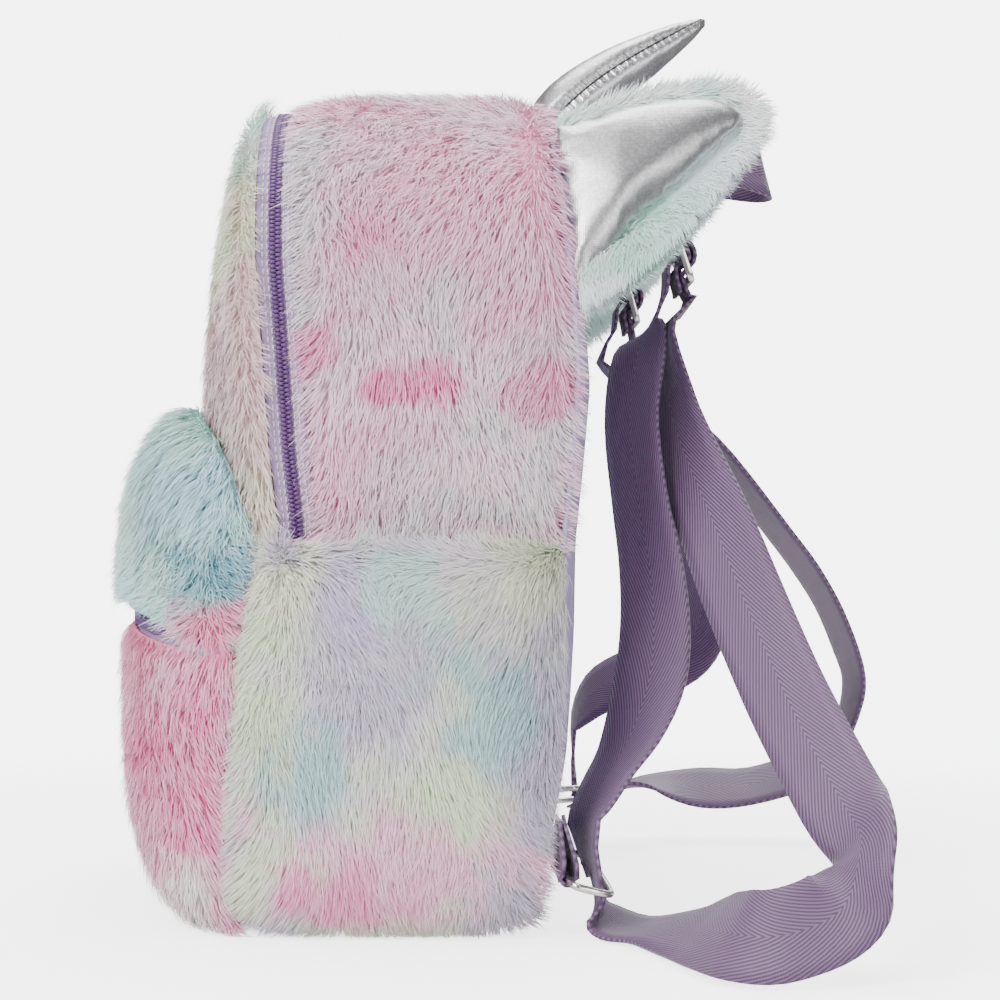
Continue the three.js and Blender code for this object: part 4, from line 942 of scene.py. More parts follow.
def pile_cloth_material(kind):
    """The cloth under the fur, in the same dyes darkened by a painted shade."""
    colours = bpy.context.scene.backpack_colours
    material, tree, surface = new_material(f"{kind} pile cloth", Roughness=0.95, Specular_IOR_Level=0.1)
    place, colour = dyed(tree, kind, colours)
    # Painted shade: the dyed colour multiplied by itself, darker as if in the shadow of the fur.
    deep = blend_colour(tree, 0.45, colour, colour, "MULTIPLY")
    tree.links.new(deep, surface.inputs["Base Color"])
    relief(tree, surface, noise(tree, place, 420.0, 4.0), 0.8, 0.002)
    return material


def webbing_material():
    colours = bpy.context.scene.backpack_colours
    material, tree, surface = new_material("webbing", Roughness=0.5, Specular_IOR_Level=0.45)
    surface.inputs["Sheen Weight"].default_value = 0.3
    surface.inputs["Sheen Roughness"].default_value = 0.35
    uv = add(tree, "ShaderNodeUVMap", uv_map="UVMap").outputs["UV"]
    ribs = group_node(tree, "Weave", UV=uv, Pitch=0.0032, Slant=2.6, Band=WEBBING_WIDTH / 2 * MM)
    fine = group_node(tree, "Weave", UV=uv, Pitch=0.0007, Slant=0.0, Band=0.5)
    dark, light = tuple(colours.webbing_dark) + (1,), tuple(colours.webbing) + (1,)
    shade = blend_colour(tree, ribs, dark, light)
    tree.links.new(shade, surface.inputs["Base Color"])
    relief(tree, surface, maths(tree, "ADD", ribs, maths(tree, "MULTIPLY", fine, 0.35)), 0.45, 0.0004)
    return material


def twill_material():
    colours = bpy.context.scene.backpack_colours
    material, tree, surface = new_material("twill", Roughness=0.7, Specular_IOR_Level=0.3)
    place = add(tree, "ShaderNodeTexCoord").outputs["Object"]
    parts = add(tree, "ShaderNodeSeparateXYZ")
    tree.links.new(place, parts.inputs[0])
    slanted = maths(tree, "ADD", parts.outputs["X"], parts.outputs["Z"])
    rib = maths(tree, "SINE", maths(tree, "MULTIPLY", slanted, 2 * math.pi / 0.0011))
    light, deep = tuple(colours.twill) + (1,), tuple(c * 0.72 for c in colours.twill) + (1,)
    cloudy = noise(tree, place, 30.0, 3.0)
    tree.links.new(blend_colour(tree, ramp(tree, cloudy, 0.3, 0.75), light, deep), surface.inputs["Base Color"])
    relief(tree, surface, rib, 0.35, 0.0003)
    return material


def silver_material(name="silver cloth", seamed=False):
    """Foiled cloth: a metal finish with fine threads and soft creases, and puckers along a seam."""
    colours = bpy.context.scene.backpack_colours
    material, tree, surface = new_material(name, Metallic=1.0, Roughness=0.34)
    place = add(tree, "ShaderNodeTexCoord").outputs["Object"]
    parts = add(tree, "ShaderNodeSeparateXYZ")
    tree.links.new(place, parts.inputs[0])
    pitch = 2 * math.pi / 0.0012
    rising = maths(tree, "ADD", parts.outputs["Y"], parts.outputs["Z"])
    falling = maths(tree, "SUBTRACT", parts.outputs["Y"], parts.outputs["Z"])
    first, second = (maths(tree, "SINE", maths(tree, "MULTIPLY", way, pitch)) for way in (rising, falling))
    threads = maths(tree, "MULTIPLY", first, second)
    crease, worn = noise(tree, place, 30.0, 1.5), noise(tree, place, 900.0, 2.0)
    bright, dull = tuple(colours.silver) + (1,), tuple(c * 0.74 for c in colours.silver) + (1,)
    colour = blend_colour(tree, ramp(tree, worn, 0.35, 0.7), dull, bright)
    height = maths(tree, "ADD", maths(tree, "MULTIPLY", threads, 0.035), maths(tree, "MULTIPLY", crease, 2.6))
    if seamed:
        line = add(tree, "ShaderNodeSeparateXYZ")
        tree.links.new(add(tree, "ShaderNodeAttribute", attribute_name="seam").outputs["Vector"], line.inputs[0])
        away = maths(tree, "ABSOLUTE", line.outputs["X"])
        near = maths(tree, "SUBTRACT", 1.0, ramp(tree, away, 0.15, 0.7))
        colour = blend_colour(tree, near, colour, tuple(c * 0.12 for c in colours.silver) + (1,))
        pucker = maths(tree, "SINE", maths(tree, "MULTIPLY", line.outputs["Y"], 2 * math.pi / 3.4))
        gathered = maths(tree, "SUBTRACT", 1.0, ramp(tree, away, 0.6, 5.0))
        height = maths(tree, "ADD", height, maths(tree, "MULTIPLY", maths(tree, "MULTIPLY", pucker, gathered), 0.22))
    tree.links.new(colour, surface.inputs["Base Color"])
    relief(tree, surface, height, 0.35, 0.0018)
    return material


def nickel_material():
    colours = bpy.context.scene.backpack_colours
    material, tree, surface = new_material("nickel", Metallic=1.0, Roughness=0.22)
    place = add(tree, "ShaderNodeTexCoord").outputs["Object"]
    worn = noise(tree, place, 260.0, 3.0)
    bright, dull = tuple(colours.nickel) + (1,), tuple(c * 0.7 for c in colours.nickel) + (1,)
    tree.links.new(blend_colour(tree, ramp(tree, worn, 0.35, 0.75), bright, dull), surface.inputs["Base Color"])
    tree.links.new(maths(tree, "ADD", maths(tree, "MULTIPLY", worn, 0.18), 0.14), surface.inputs["Roughness"])
    return material


def thread_material(name, colour, roughness=0.6):
    material, tree, surface = new_material(name, Roughness=roughness)
    place = add(tree, "ShaderNodeTexCoord").outputs["Object"]
    light, deep = tuple(colour) + (1,), tuple(c * 0.7 for c in colour) + (1,)
    tree.links.new(blend_colour(tree, noise(tree, place, 1500.0, 1.0), light, deep), surface.inputs["Base Color"])
    return material


def zip_tape_material():
    colours = bpy.context.scene.backpack_colours
    material, tree, surface = new_material("zip tape", Roughness=0.7)
    uv = add(tree, "ShaderNodeUVMap", uv_map="UVMap").outputs["UV"]
    ribs = group_node(tree, "Weave", UV=uv, Pitch=0.0011, Slant=1.0, Band=0.5)
    light, deep = tuple(colours.zip_tape) + (1,), tuple(c * 0.7 for c in colours.zip_tape) + (1,)
    tree.links.new(blend_colour(tree, ribs, deep, light), surface.inputs["Base Color"])
    relief(tree, surface, ribs, 0.4, 0.0003)
    return material


# Settings that a user would change
def length_value(name, description, default):
    return bpy.props.FloatProperty(name=name, description=description, default=default, min=0, unit="LENGTH")


def colour_value(name, description, default):
    return bpy.props.FloatVectorProperty(name=name, description=description, default=default, subtype="COLOR",
                                         size=3, min=0, max=1)


class BackpackSizes(bpy.types.PropertyGroup):
    """Sizes of the cloths and threads."""

    pile_length: length_value("Pile length", "Length of a blade of fur", 0.0095)
    blade_width: length_value("Blade width", "Width of a blade of fur at its root", 0.00038)
    pile_share: bpy.props.FloatProperty(
        name="Pile share", description="Share of the full number of blades", default=1.0, min=0.05, max=1.0)
    coil_pitch: length_value("Coil pitch", "Distance from one tooth of a zip's coil to the next", 0.0016)
    stitch_pitch: length_value("Stitch pitch", "Distance from one stitch to the next", 0.003)


class BackpackColours(bpy.types.PropertyGroup):
    """Colours of the dyes, cloths and metals."""

    pink: colour_value("Pink", "Pale pink dye", (0.88, 0.50, 0.66))
    hot_pink: colour_value("Hot pink", "Strong pink dye", (0.86, 0.22, 0.48))
    rose: colour_value("Rose", "Rose dye of the pocket", (0.84, 0.32, 0.50))
    white_pink: colour_value("White pink", "Near white with pink", (0.90, 0.70, 0.79))
    beige_pink: colour_value("Beige pink", "Pinkish beige of the panel", (0.80, 0.61, 0.61))
    grey_white: colour_value("Grey white", "Greyish white", (0.76, 0.70, 0.74))
    mint: colour_value("Mint", "Pale green dye", (0.52, 0.76, 0.68))
    pale_green: colour_value("Pale green", "Yellowish green dye", (0.70, 0.80, 0.56))
    cream: colour_value("Cream", "Yellowish white", (0.80, 0.81, 0.64))
    cream_white: colour_value("Cream white", "White with a little cream", (0.88, 0.86, 0.80))
    lilac: colour_value("Lilac", "Pale violet dye", (0.58, 0.48, 0.74))
    lilac_white: colour_value("Lilac white", "Near white with violet", (0.74, 0.68, 0.74))
    lilac_grey: colour_value("Lilac grey", "Greyish violet", (0.54, 0.49, 0.62))
    ice: colour_value("Ice", "Pale blue dye", (0.48, 0.72, 0.78))
    teal: colour_value("Teal", "Deeper blue green dye", (0.16, 0.42, 0.52))
    teal_pale: colour_value("Pale teal", "Pale blue green dye", (0.36, 0.62, 0.64))
    white_blue: colour_value("White blue", "Near white with blue", (0.78, 0.86, 0.89))
    white: colour_value("White", "Undyed fur", (0.90, 0.90, 0.89))
    webbing: colour_value("Webbing", "Light thread of the webbing", (0.185, 0.11, 0.21))
    webbing_dark: colour_value("Webbing, dark", "Deep thread of the webbing", (0.065, 0.033, 0.08))
    twill: colour_value("Twill", "Cloth of the back panel", (0.48, 0.40, 0.64))
    zip_tape: colour_value("Zip tape", "Woven tape of the zips", (0.44, 0.31, 0.54))
    zip_coil: colour_value("Zip coil", "Teeth of the zips", (0.13, 0.05, 0.20))
    stitch: colour_value("Stitch", "Thread of the zip's stitches", (0.82, 0.68, 0.82))
    silver: colour_value("Silver", "Foil of the ears and horn", (0.62, 0.62, 0.64))
    nickel: colour_value("Nickel", "Metal of the rings and sliders", (0.74, 0.72, 0.68))


def sizes():
    return bpy.context.scene.backpack_sizes


def colours():
    return bpy.context.scene.backpack_colours


def settle(obj, nodes):
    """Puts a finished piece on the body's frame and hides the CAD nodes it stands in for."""
    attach(obj, BODY)
    if nodes:
        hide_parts(*nodes)
    return obj


def add_pile(name, points, count, seed, kind, slot, **values):
    s = sizes()
    values.setdefault("length", s.pile_length / MM)
    values.setdefault("width", s.blade_width / MM)
    share = s.pile_share * 1.0
    wide = values["width"] / math.sqrt(share)
    values["width"] = min(wide, values["width"] * 1.8)
    fur = pile(name, points, int(count * share), seed, fur_material(kind) if kind not in FURS else FURS[kind], **values)
    FURS[kind] = fur.data.materials[0]
    return settle(fur, [])


FURS = {}


def stitches(name, places, along, facing, length, thick, material):
    """A row of short threads lying along a line."""
    third = np.cross(facing, along)
    ways = np.stack([along, third, facing], axis=1)
    return small_boxes(name, places, ways, (length / 2, thick / 2, thick / 2), material)


def spaced(points, pitch):
    """Evenly spaced places along a line of points, with the directions there."""
    steps = np.linalg.norm(np.diff(points, axis=0), axis=1)
    run = np.concatenate([[0], np.cumsum(steps)])
    at = np.arange(pitch, run[-1] - pitch, pitch)
    places = np.stack([np.interp(at, run, points[:, k]) for k in range(3)], axis=1)
    ahead = np.stack([np.interp(at + pitch / 2, run, points[:, k]) for k in range(3)], axis=1)
    behind = np.stack([np.interp(at - pitch / 2, run, points[:, k]) for k in range(3)], axis=1)
    along = ahead - behind
    return places, along / np.linalg.norm(along, axis=1)[:, None]


BAG_CENTRE = (0, 0, BAG_HEIGHT / 2)


class BACKPACK_OT_back_panel(bpy.types.Operator):
    """Makes the twill back panel"""

    bl_idname = "backpack.back_panel"
    bl_label = "Back panel"

    def execute(self, context):
        rows = np.linspace(BASE_END, TOP_END, 64) / HALF_RUN
        points = back_surface(rows[:, None], np.linspace(-1, 1, 41)[None, :])
        panel = bent_grid("back_panel_twill", points, twill_material(), centre=(0, 0, CENTRE_Z))
        settle(thicken(panel, TWILL_WALL), ["back_panel"])
        return {"FINISHED"}


class BACKPACK_OT_gusset(bpy.types.Operator):
    """Makes the plush band round the bag"""

    bl_idname = "backpack.gusset"
    bl_label = "Gusset"

    def execute(self, context):
        walk, across = walks(40, 64)[:, None], np.linspace(0, 1, 31)[None, :]
        points = gusset_surface(walk, across, PILE_SINK * (1 - np.clip(rim(walk)[3], 0, 1)))
        band = bent_grid("gusset_cloth", points, pile_cloth_material("plush"), centre=BAG_CENTRE)
        settle(thicken(band, PLUSH_WALL), ["gusset"])
        x, z, nx, nz = (part + 0 * across for part in rim(walk))
        hidden = (z < SIDE_HEIGHT - 4) & (np.abs(nx) > 0.6)
        keep = np.where(hidden, 0.0, np.where(z < BASE_RADIUS, 0.3, np.where(nx < -0.5, 0.6, 1.0)))
        horn_seat = (np.abs(x) < HORN_THICK * 0.5) & (across < 0.1) & (z > BAG_HEIGHT * 0.9)
        keep = np.where(horn_seat, 0.0, keep)
        add_pile("gusset_fur", points, 60000, 11, "plush", "plush", keep=keep, centre=BAG_CENTRE, stand=0.5,
                 fringe=(2.2, 2.0, 0))
        return {"FINISHED"}


class BACKPACK_OT_front_panel(bpy.types.Operator):
    """Makes the bulging plush panel inside the zip"""

    bl_idname = "backpack.front_panel"
    bl_label = "Front panel"

    def execute(self, context):
        walk, share = walks(36, 60)[:, None], (1 - np.linspace(0, 1, 36) ** 1.25)[None, :]
        points = dome_surface(walk, share, SEAM_INSET, PANEL_PILE_SINK * (1 - share ** 8))
        panel = bent_grid("front_panel_cloth", points, pile_cloth_material("front"), centre=BAG_CENTRE)
        settle(thicken(panel, PLUSH_WALL), ["front_panel"])
        x, z = points[..., 0], points[..., 2]
        covered = (z < POCKET_HEIGHT * 0.94) & (np.abs(x) < POCKET_WIDTH * 0.43)
        keep = np.where(covered, 0.02, np.where(z < POCKET_HEIGHT * 0.45, 0.4, 1.0))
        add_pile("front_panel_fur", points, 34000, 23, "front", "front_plush", keep=keep, centre=BAG_CENTRE,
                 stand=0.46, fringe=(2.0, 0, 0))
        return {"FINISHED"}


def pocket_grid(low, high, rows, columns, sink, sag):
    share = np.linspace(low, high, rows)[:, None]
    turn = np.linspace(-1, 1, columns)[None, :]
    return pocket_surface(share, turn, sink, sag(share))


class BACKPACK_OT_front_pocket(bpy.types.Operator):
    """Makes the front pocket, its overhanging upper part and its zip"""

    bl_idname = "backpack.front_pocket"
    bl_label = "Front pocket"

    def execute(self, context):
        centre = (0, -40, POCKET_HEIGHT * 0.45)
        top = ZIP_SHARE - SLOT_SHARE
        lower = pocket_grid(0.008, top, 40, 57, POCKET_PILE_SINK, lambda share: POCKET_SAG * np.clip(share / top, 0, 1))
        body = bent_grid("pocket_cloth", lower, pile_cloth_material("pocket"), centre=centre)
        settle(thicken(body, PLUSH_WALL), ["pocket_front"])
        add_pile("pocket_fur", lower, 34000, 31, "pocket", "pocket_plush", centre=centre, stand=0.5, swirl=0.8,
                 fringe=(1.5, 1.5, 0))
        low = ZIP_SHARE + SLOT_SHARE
        shut = np.clip(np.abs(np.linspace(-1, 1, 57)) / 0.12 - 5.3, 0, 1)[None, :] * (POCKET_SLOT + 2)
        sag = lambda share: (POCKET_SAG + shut) * np.clip(1 - (share - low) / (0.9 - low), 0, 1)
        upper = pocket_grid(low, 1.0, 34, 57, POCKET_PILE_SINK - 1.5, sag)
        hood = bent_grid("snout_cloth", upper, pile_cloth_material("hood"), centre=centre)
        settle(thicken(hood, PLUSH_WALL), ["snout"])
        bare = 2
        clear = np.ones(upper.shape[:2])
        clear[:bare] = 0
        add_pile("snout_fur", upper, 31000, 37, "hood", "hood_plush", centre=centre, stand=0.6, keep=clear,
                 swirl=0.7, fringe=(1.5, 1.5, 0))
        self.zip_band(centre)
        return {"FINISHED"}

    def zip_band(self, centre):
        reach, c = 0.86, colours()
        turn = np.linspace(-reach, reach, 73)[:, None]
        tall = (POCKET_SLOT / 2 + 2.2) / POCKET_HEIGHT
        share = ZIP_SHARE + np.linspace(-tall, tall, 9)[None, :]
        points = pocket_surface(share, turn, POCKET_PILE_SINK + 2.5, POCKET_SAG)
        tape = bent_grid("pocket_zip_tape", points, zip_tape_material(), centre=centre)
        settle(thicken(tape, 0.9), ["pocket_zip"])
        line = pocket_surface(ZIP_SHARE, turn[:, 0], POCKET_PILE_SINK + 1.4, POCKET_SAG)
        coil = thread_material("pocket zip coil", c.zip_coil, 0.35)
        add_coil("pocket_zip_coil", line, lambda at, along: np.cross(along, (0, 0, 1)), coil)


def add_coil(name, line, facing_of, material, side_of=None):
    """Two rows of coil teeth that meet along a line."""
    pitch = sizes().coil_pitch / MM
    places, along = spaced(line, pitch)
    facing = facing_of(places, along)
    facing = facing / np.linalg.norm(facing, axis=1)[:, None]
    across = np.cross(facing, along)
    rows = []
    for side in (-1, 1):
        shift = along * pitch * 0.25 * side
        rows.append((places + across * 1.05 * side + shift, np.stack([along, across, facing], axis=1)))
    centres = np.concatenate([row[0] for row in rows])
    ways = np.concatenate([row[1] for row in rows])
    return settle(small_boxes(name, centres, ways, (pitch * 0.34, 1.05, 0.55), material), [])


class BACKPACK_OT_side_pockets(bpy.types.Operator):
    """Makes the two slip pockets"""

    bl_idname = "backpack.side_pockets"
    bl_label = "Side pockets"

    def execute(self, context):
        start = (BASE_END + BASE_RADIUS * math.pi / 4) / HALF_RUN
        walk = np.linspace(start, walk_at(SIDE_HEIGHT - 1), 44)[:, None]
        across = np.linspace(0, 1, 37)[None, :]
        cloth = pile_cloth_material("side")
        for name, side, count, seed in (("right", 1, 50000, 41), ("left", -1, 21000, 43)):
            points = side_pocket_surface(walk, across, side, 1.6)
            pocket = bent_grid(f"side_pocket_{name}_cloth", points, cloth, centre=BAG_CENTRE)
            settle(thicken(pocket, PLUSH_WALL), [f"side_pocket_{name}"])
            add_pile(f"side_pocket_{name}_fur", points, count, seed, "side", "side_plush", centre=BAG_CENTRE,
                     stand=0.5, swirl=0.75, fringe=(1.2, 1.5, 1.6))
        return {"FINISHED"}


class BACKPACK_OT_main_zip(bpy.types.Operator):
    """Makes the main zip's tapes, coil and stitches"""

    bl_idname = "backpack.main_zip"
    bl_label = "Main zip"

    def execute(self, context):
        c = colours()
        right = np.linspace(walk_at(SIDE_HEIGHT), 1, 90)
        walk = np.concatenate([right, 2 - right[-2::-1]])
        tape_cloth = zip_tape_material()

        def place(across, up):
            x, z, nx, nz = rim(walk[:, None])
            depth = SEAM_INSET + 0.6 - up
            return np.stack(np.broadcast_arrays(x - nx * depth, zip_y(z) + across, z - nz * depth), axis=-1)

        half = ZIP_WIDTH / 2 - SEAM_GAP / 2
        for name, side in (("rear", 1), ("front", -1)):
            across = side * np.linspace(0.3, half, 6)[None, :]
            tape = bent_grid(f"zip_tape_{name}_cloth", place(across, 0.4), tape_cloth, centre=BAG_CENTRE)
            settle(thicken(tape, 1.0), [f"zip_tape_{name}"])
        line = place(np.array([[0.0]]), 1.2)[:, 0]
        add_coil("main_zip_coil", line, self.facing, thread_material("main zip coil", c.zip_coil, 0.35))
        thread = thread_material("zip stitch", c.stitch)
        for k, across in enumerate((-4.6, -2.9, 2.9, 4.6)):
            row = place(np.array([[across]]), 0.55)[:, 0]
            places, along = spaced(row, sizes().stitch_pitch / MM)
            settle(stitches(f"main_zip_stitches_{k + 1}", places, along, self.facing(places, along), 2.1, 0.55, thread),
                   [])
        return {"FINISHED"}

    @staticmethod
    def facing(places, along):
        """Straight out of the bag at places on the zip."""
        out = np.cross(along, np.array([0.0, 1.0, 0.0]))
        from_middle = places - np.array(BAG_CENTRE)
        out *= np.sign((out * from_middle).sum(axis=1))[:, None]
        return out / np.linalg.norm(out, axis=1)[:, None]


def node_copy(name, node, material):
    """A merged copy of a CAD node's mesh as a new piece."""
    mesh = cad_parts[node].data.copy()
    mesh.name = name
    mesh.materials.clear()
    bm = bmesh.new()
    bm.from_mesh(mesh)
    bmesh.ops.remove_doubles(bm, verts=bm.verts, dist=1e-5)
    for face in bm.faces:
        face.smooth = True
    bm.to_mesh(mesh)
    bm.free()
    return link(name, mesh, material)


def applied(obj):
    """The object's mesh with its modifiers taken in."""
    view = bpy.context.evaluated_depsgraph_get()
    made = bpy.data.meshes.new_from_object(obj.evaluated_get(view))
    old = obj.data
    obj.modifiers.clear()
    obj.data = made
    bpy.data.meshes.remove(old)
    return obj


def swollen(obj, voxel, pressure, cap, way=None):
    """Stuffs a closed piece: remeshed, blown up a little as cloth, and held within a cap, or only moved one way."""
    remesh = obj.modifiers.new("Even", "REMESH")
    remesh.mode = "VOXEL"
    remesh.voxel_size = voxel * MM
    remesh.use_smooth_shade = True
    applied(obj)
    before = np.zeros(len(obj.data.vertices) * 3, np.float32)
    obj.data.vertices.foreach_get("co", before)
    before = before.reshape(-1, 3)
    cloth = obj.modifiers.new("Stuffing", "CLOTH")
    cloth.settings.use_pressure = True
    cloth.settings.uniform_pressure_force = pressure
    cloth.settings.effector_weights.gravity = 0
    cloth.settings.quality = 5
    cloth.settings.mass = 0.2
    for number in range(1, 21):
        bpy.context.scene.frame_set(number)
    applied(obj)
    bpy.context.scene.frame_set(1)
    after = np.zeros(len(before) * 3, np.float32)
    obj.data.vertices.foreach_get("co", after)
    move = after.reshape(-1, 3) - before
    if way is not None:
        way = unit(way)
        move = np.clip(move @ way, 0, None)[:, None] * way
    size = np.linalg.norm(move, axis=1)[:, None]
    move *= np.minimum(1, cap * MM / np.maximum(size, 1e-9))
    obj.data.vertices.foreach_set("co", (before + move).ravel())
    rounder = obj.modifiers.new("Rounder", "SUBSURF")
    rounder.levels = rounder.render_levels = 1
    applied(obj)
    obj.data.polygons.foreach_set("use_smooth", np.ones(len(obj.data.polygons), bool))
    return obj


class BACKPACK_OT_ears(bpy.types.Operator):
    """Makes the ears: stuffed silver faces on plush backs"""

    bl_idname = "backpack.ears"
    bl_label = "Ears"

    def execute(self, context):
        silver = silver_material()
        cloth = pile_cloth_material("ear")
        along, across = np.linspace(0, 1, 31)[:, None], np.linspace(0, 1, 31)[None, :]
        for name, side, seed in (("right", 1, 53), ("left", -1, 59)):
            outward = np.array([-side, 0, -EAR_LEAN]) * 40
            face = swollen(node_copy(f"ear_{name}_silver", f"ear_{name}_face", silver), 2.5, 4.0, 4.0, -outward)
            self.spread(face)
            settle(face, [f"ear_{name}_face"])
            back = ear_surface(along, across, side, PLUSH_EAR_ROWS, -0.25, -EAR_PLUSH + 2.0)
            flat = ear_surface(along, across, side, PLUSH_EAR_ROWS, -0.25, 0.0)
            pad = swollen(node_copy(f"ear_{name}_cloth", f"ear_{name}_back", cloth), 3.5, 3.0, 2.0, outward)
            settle(pad, [f"ear_{name}_back"])
            middle = inside_of(flat)
            add_pile(f"ear_{name}_back_fur", back, 9500, seed, "ear", "ear_plush", nap=(0, 0.9, -0.35),
                     centre=middle - outward, stand=0.5, length=9.0, fringe=(0.6, 1.5, 1.5))
            edge = np.minimum(np.minimum(across / 0.07, (1 - across) / 0.26), (1 - along) / 0.16) + 0 * along
            keep = np.where(edge < 1, 1.0, 0.0)
            add_pile(f"ear_{name}_rim_fur", flat, 8000, seed + 1, "ear", "ear_plush", nap=(0, 0.6, -0.6),
                     centre=middle + outward, stand=0.3, length=8.0, keep=keep, fringe=(2.5, 3.0, 3.0))
        return {"FINISHED"}

    @staticmethod
    def spread(face):
        """Gives back the outline that the even mesh took off the face."""
        mesh = face.data
        middle = sum((v.co for v in mesh.vertices), Vector()) / len(mesh.vertices)
        for v in mesh.vertices:
            v.co.y = middle.y + (v.co.y - middle.y) * FACE_SPREAD
            v.co.z = middle.z + (v.co.z - middle.z) * FACE_SPREAD


class BACKPACK_OT_horn(bpy.types.Operator):
    """Makes the stuffed silver horn with its puckered seam"""

    bl_idname = "backpack.horn"
    bl_label = "Horn"

    def execute(self, context):
        horn = swollen(node_copy("horn_silver", "horn", silver_material("horn cloth", seamed=True)), 2.5, 3.0, 2.0)
        self.pucker(horn)
        settle(horn, ["horn"])
        return {"FINISHED"}

    def pucker(self, horn):
        """Draws the cloth in along the seam on each side, and keeps each point's distance from it and place along it."""
        count = len(horn.data.vertices)
        flat = np.zeros(count * 3, np.float32)
        horn.data.vertices.foreach_get("co", flat)
        places = flat.reshape(-1, 3) / MM
        share, centre, across, deep, wide = horn_line(60)
        nearest = np.argmin(((places[:, None, :] - centre[None]) ** 2).sum(axis=2), axis=1)
        away = places - centre[nearest]
        reach = np.linalg.norm(away, axis=1)
        turn = np.arctan2((away * across[nearest]).sum(axis=1), np.abs(away[:, 0]))
        groove = np.exp(-(turn * reach / 2.6) ** 2) * 1.5 * np.clip(reach / 6, 0, 1)
        places = places - away / np.maximum(reach, 0.5)[:, None] * groove[:, None]
        horn.data.vertices.foreach_set("co", (places * MM).astype(np.float32).ravel())
        seam = horn.data.attributes.new("seam", "FLOAT_VECTOR", "POINT")
        line = np.stack([turn * reach, share[nearest] * HORN_LENGTH, 0 * reach], axis=-1)
        seam.data.foreach_set("vector", line.astype(np.float32).ravel())
        horn.data.update()


class BACKPACK_OT_webbing(bpy.types.Operator):
    """Makes the shoulder straps, the haul loop and the ring tabs"""

    bl_idname = "backpack.webbing"
    bl_label = "Webbing"

    def execute(self, context):
        cloth = webbing_material()
        bands = [
            ("strap_right", strap_rows(1, SLIDERS["right"], RINGS["right"], RIGHT_OUT, RIGHT_BACK), WEBBING_WIDTH),
            ("strap_left", strap_rows(-1, SLIDERS["left"], RINGS["left"], LEFT_OUT, LEFT_BACK), WEBBING_WIDTH),
            ("haul_loop", haul_rows(), HAUL_WIDTH),
            ("tab_right", tab_rows(RINGS["right"]), WEBBING_WIDTH - 6),
            ("tab_left", tab_rows(RINGS["left"]), WEBBING_WIDTH - 6),
        ]
        for name, rows, width in bands:
            band = bent_grid(f"{name}_webbing", ribbon_surface(rows, width), cloth)
            thicken(band, WEBBING_WALL, 0)
            settle(band, [name])
        return {"FINISHED"}


class BACKPACK_OT_metal(bpy.types.Operator):
    """Gives the rings and sliders their softened edges and nickel finish"""

    bl_idname = "backpack.metal"
    bl_label = "Metal parts"

    def execute(self, context):
        nickel = nickel_material()
        for node in ("slider_right", "slider_left", "zip_slider_main", "zip_slider_pocket"):
            part = node_copy(f"{node}_nickel", node, nickel)
            edge = part.modifiers.new("Edge", "BEVEL")
            edge.width = 0.0005
            edge.segments = 2
            edge.limit_method = "ANGLE"
            edge.angle_limit = math.radians(40)
            settle(part, [node])
        for node in ("ring_right", "ring_left"):
            part = node_copy(f"{node}_nickel", node, nickel)
            rounder = part.modifiers.new("Rounder", "SUBSURF")
            rounder.levels = rounder.render_levels = 2
            settle(part, [node])
        return {"FINISHED"}


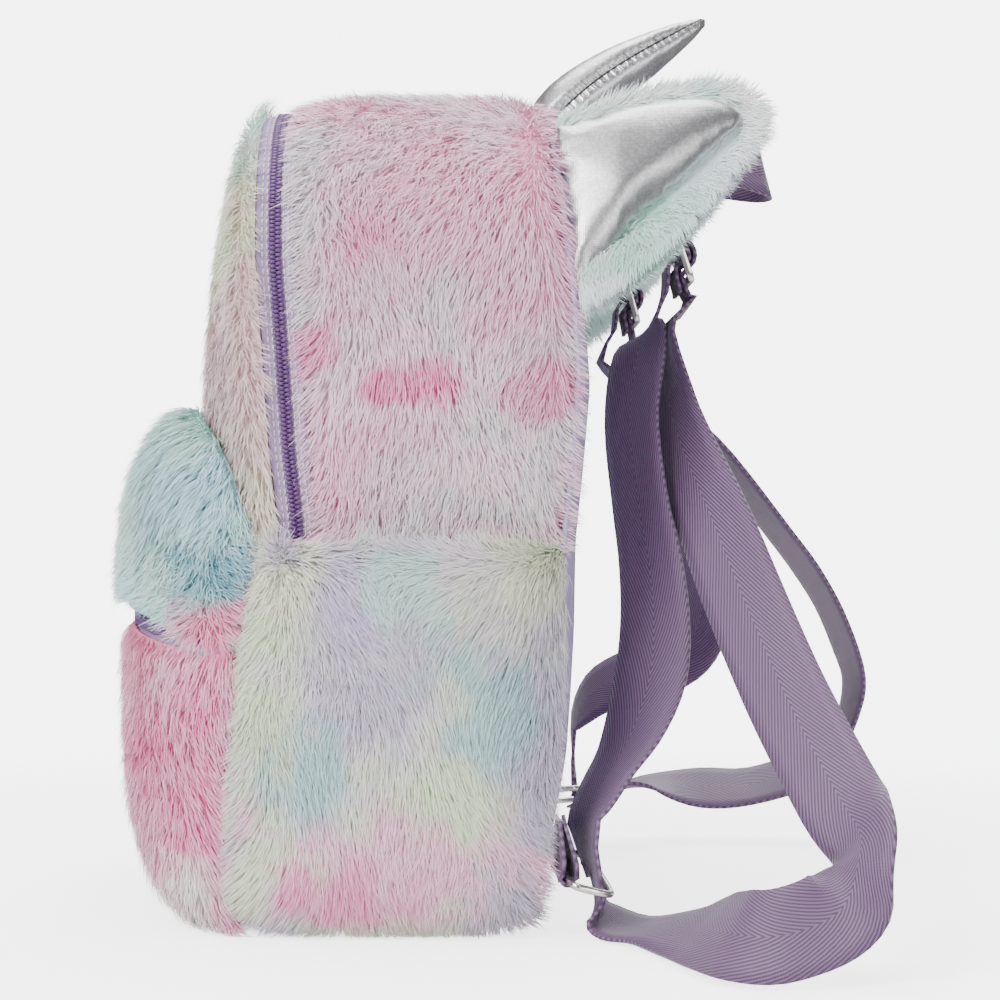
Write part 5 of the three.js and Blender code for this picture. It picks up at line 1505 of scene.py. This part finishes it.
class BACKPACK_OT_stage(bpy.types.Operator):
    """Sets the floor, lights and camera"""

    bl_idname = "backpack.stage"
    bl_label = "Stage"

    def execute(self, context):
        scene = context.scene
        bm = bmesh.new()
        bmesh.ops.create_grid(bm, x_segments=1, y_segments=1, size=1.5)
        mesh = bpy.data.meshes.new("floor")
        bm.to_mesh(mesh)
        bm.free()
        link("floor", mesh, self.floor_material())
        world = bpy.data.worlds.new("studio")
        world.use_nodes = True
        tree = world.node_tree
        soft = tree.nodes["Background"]
        soft.inputs["Color"].default_value = (1, 1, 1, 1)
        soft.inputs["Strength"].default_value = 0.75
        dim = add(tree, "ShaderNodeBackground", Color=(1, 1, 1, 1), Strength=0.3)
        white = add(tree, "ShaderNodeBackground", Color=(1, 1, 1, 1), Strength=WHITE)
        path = add(tree, "ShaderNodeLightPath")
        shiny, either = add(tree, "ShaderNodeMixShader"), add(tree, "ShaderNodeMixShader")
        tree.links.new(path.outputs["Is Glossy Ray"], shiny.inputs[0])
        tree.links.new(soft.outputs[0], shiny.inputs[1])
        tree.links.new(dim.outputs[0], shiny.inputs[2])
        tree.links.new(path.outputs["Is Camera Ray"], either.inputs[0])
        tree.links.new(shiny.outputs[0], either.inputs[1])
        tree.links.new(white.outputs[0], either.inputs[2])
        tree.links.new(either.outputs[0], tree.nodes["World Output"].inputs["Surface"])
        scene.world = world
        target = Vector((0, 0.02, 0.16))
        for name, place, size, watts in (
            ("key", (1.2, -0.8, 1.1), 0.6, 36), ("fill", (1.3, 0.8, 0.4), 0.7, 8), ("top", (-0.2, 0.0, 1.5), 1.0, 24),
            ("far", (-1.3, 0.4, 0.9), 1.0, 14),
        ):
            lamp = bpy.data.lights.new(name, "AREA")
            lamp.size = size
            lamp.energy = watts
            obj = bpy.data.objects.new(name, lamp)
            obj.location = place
            obj.rotation_mode = "QUATERNION"
            obj.rotation_quaternion = (target - obj.location).to_track_quat("-Z", "Y")
            scene.collection.objects.link(obj)
        lens = bpy.data.cameras.new("camera")
        lens.lens = 82
        lens.sensor_width = 36
        camera = bpy.data.objects.new("camera", lens)
        camera.location = (0.92, 0.035, 0.156)
        camera.rotation_euler = (math.pi / 2, 0, math.pi / 2)
        scene.collection.objects.link(camera)
        scene.camera = camera
        return {"FINISHED"}

    @staticmethod
    def floor_material():
        """A pale floor that fades into the background away from the bag."""
        pale, tree, surface = new_material("pale floor", Roughness=0.9, Base_Color=(0.86, 0.86, 0.86, 1))
        place = add(tree, "ShaderNodeTexCoord").outputs["Object"]
        away = add(tree, "ShaderNodeVectorMath", operation="LENGTH")
        tree.links.new(place, away.inputs[0])
        tree.links.new(maths(tree, "SUBTRACT", 1.0, ramp(tree, away.outputs["Value"], 0.25, 0.6)), surface.inputs["Alpha"])
        surface.inputs["Emission Color"].default_value = (1, 1, 1, 1)
        lit = maths(tree, "MULTIPLY", add(tree, "ShaderNodeLightPath").outputs["Is Camera Ray"], WHITE * 0.5)
        tree.links.new(lit, surface.inputs["Emission Strength"])
        return pale


OPERATORS = (
    BACKPACK_OT_back_panel, BACKPACK_OT_gusset, BACKPACK_OT_main_zip, BACKPACK_OT_front_panel,
    BACKPACK_OT_front_pocket, BACKPACK_OT_side_pockets, BACKPACK_OT_ears, BACKPACK_OT_horn, BACKPACK_OT_webbing,
    BACKPACK_OT_metal, BACKPACK_OT_stage,
)


class BACKPACK_PT_panel(bpy.types.Panel):
    """Lists the pieces of the backpack"""

    bl_idname = "BACKPACK_PT_panel"
    bl_label = "Backpack"
    bl_space_type = "VIEW_3D"
    bl_region_type = "UI"
    bl_category = "Backpack"

    def draw(self, context):
        for operator in OPERATORS:
            self.layout.operator(operator.bl_idname)
        for values in (context.scene.backpack_sizes, context.scene.backpack_colours):
            for key in values.bl_rna.properties.keys():
                if key not in ("rna_type", "name"):
                    self.layout.prop(values, key)


CLASSES = (BackpackSizes, BackpackColours, *OPERATORS, BACKPACK_PT_panel)


def register():
    for cls in CLASSES:
        bpy.utils.register_class(cls)
    bpy.types.Scene.backpack_sizes = bpy.props.PointerProperty(type=BackpackSizes)
    bpy.types.Scene.backpack_colours = bpy.props.PointerProperty(type=BackpackColours)


def unregister():
    del bpy.types.Scene.backpack_colours
    del bpy.types.Scene.backpack_sizes
    for cls in reversed(CLASSES):
        bpy.utils.unregister_class(cls)


def main():
    register()
    for operator in OPERATORS:
        group, name = operator.bl_idname.split(".")
        getattr(getattr(bpy.ops, group), name)()


if __name__ == "__main__":
    main()
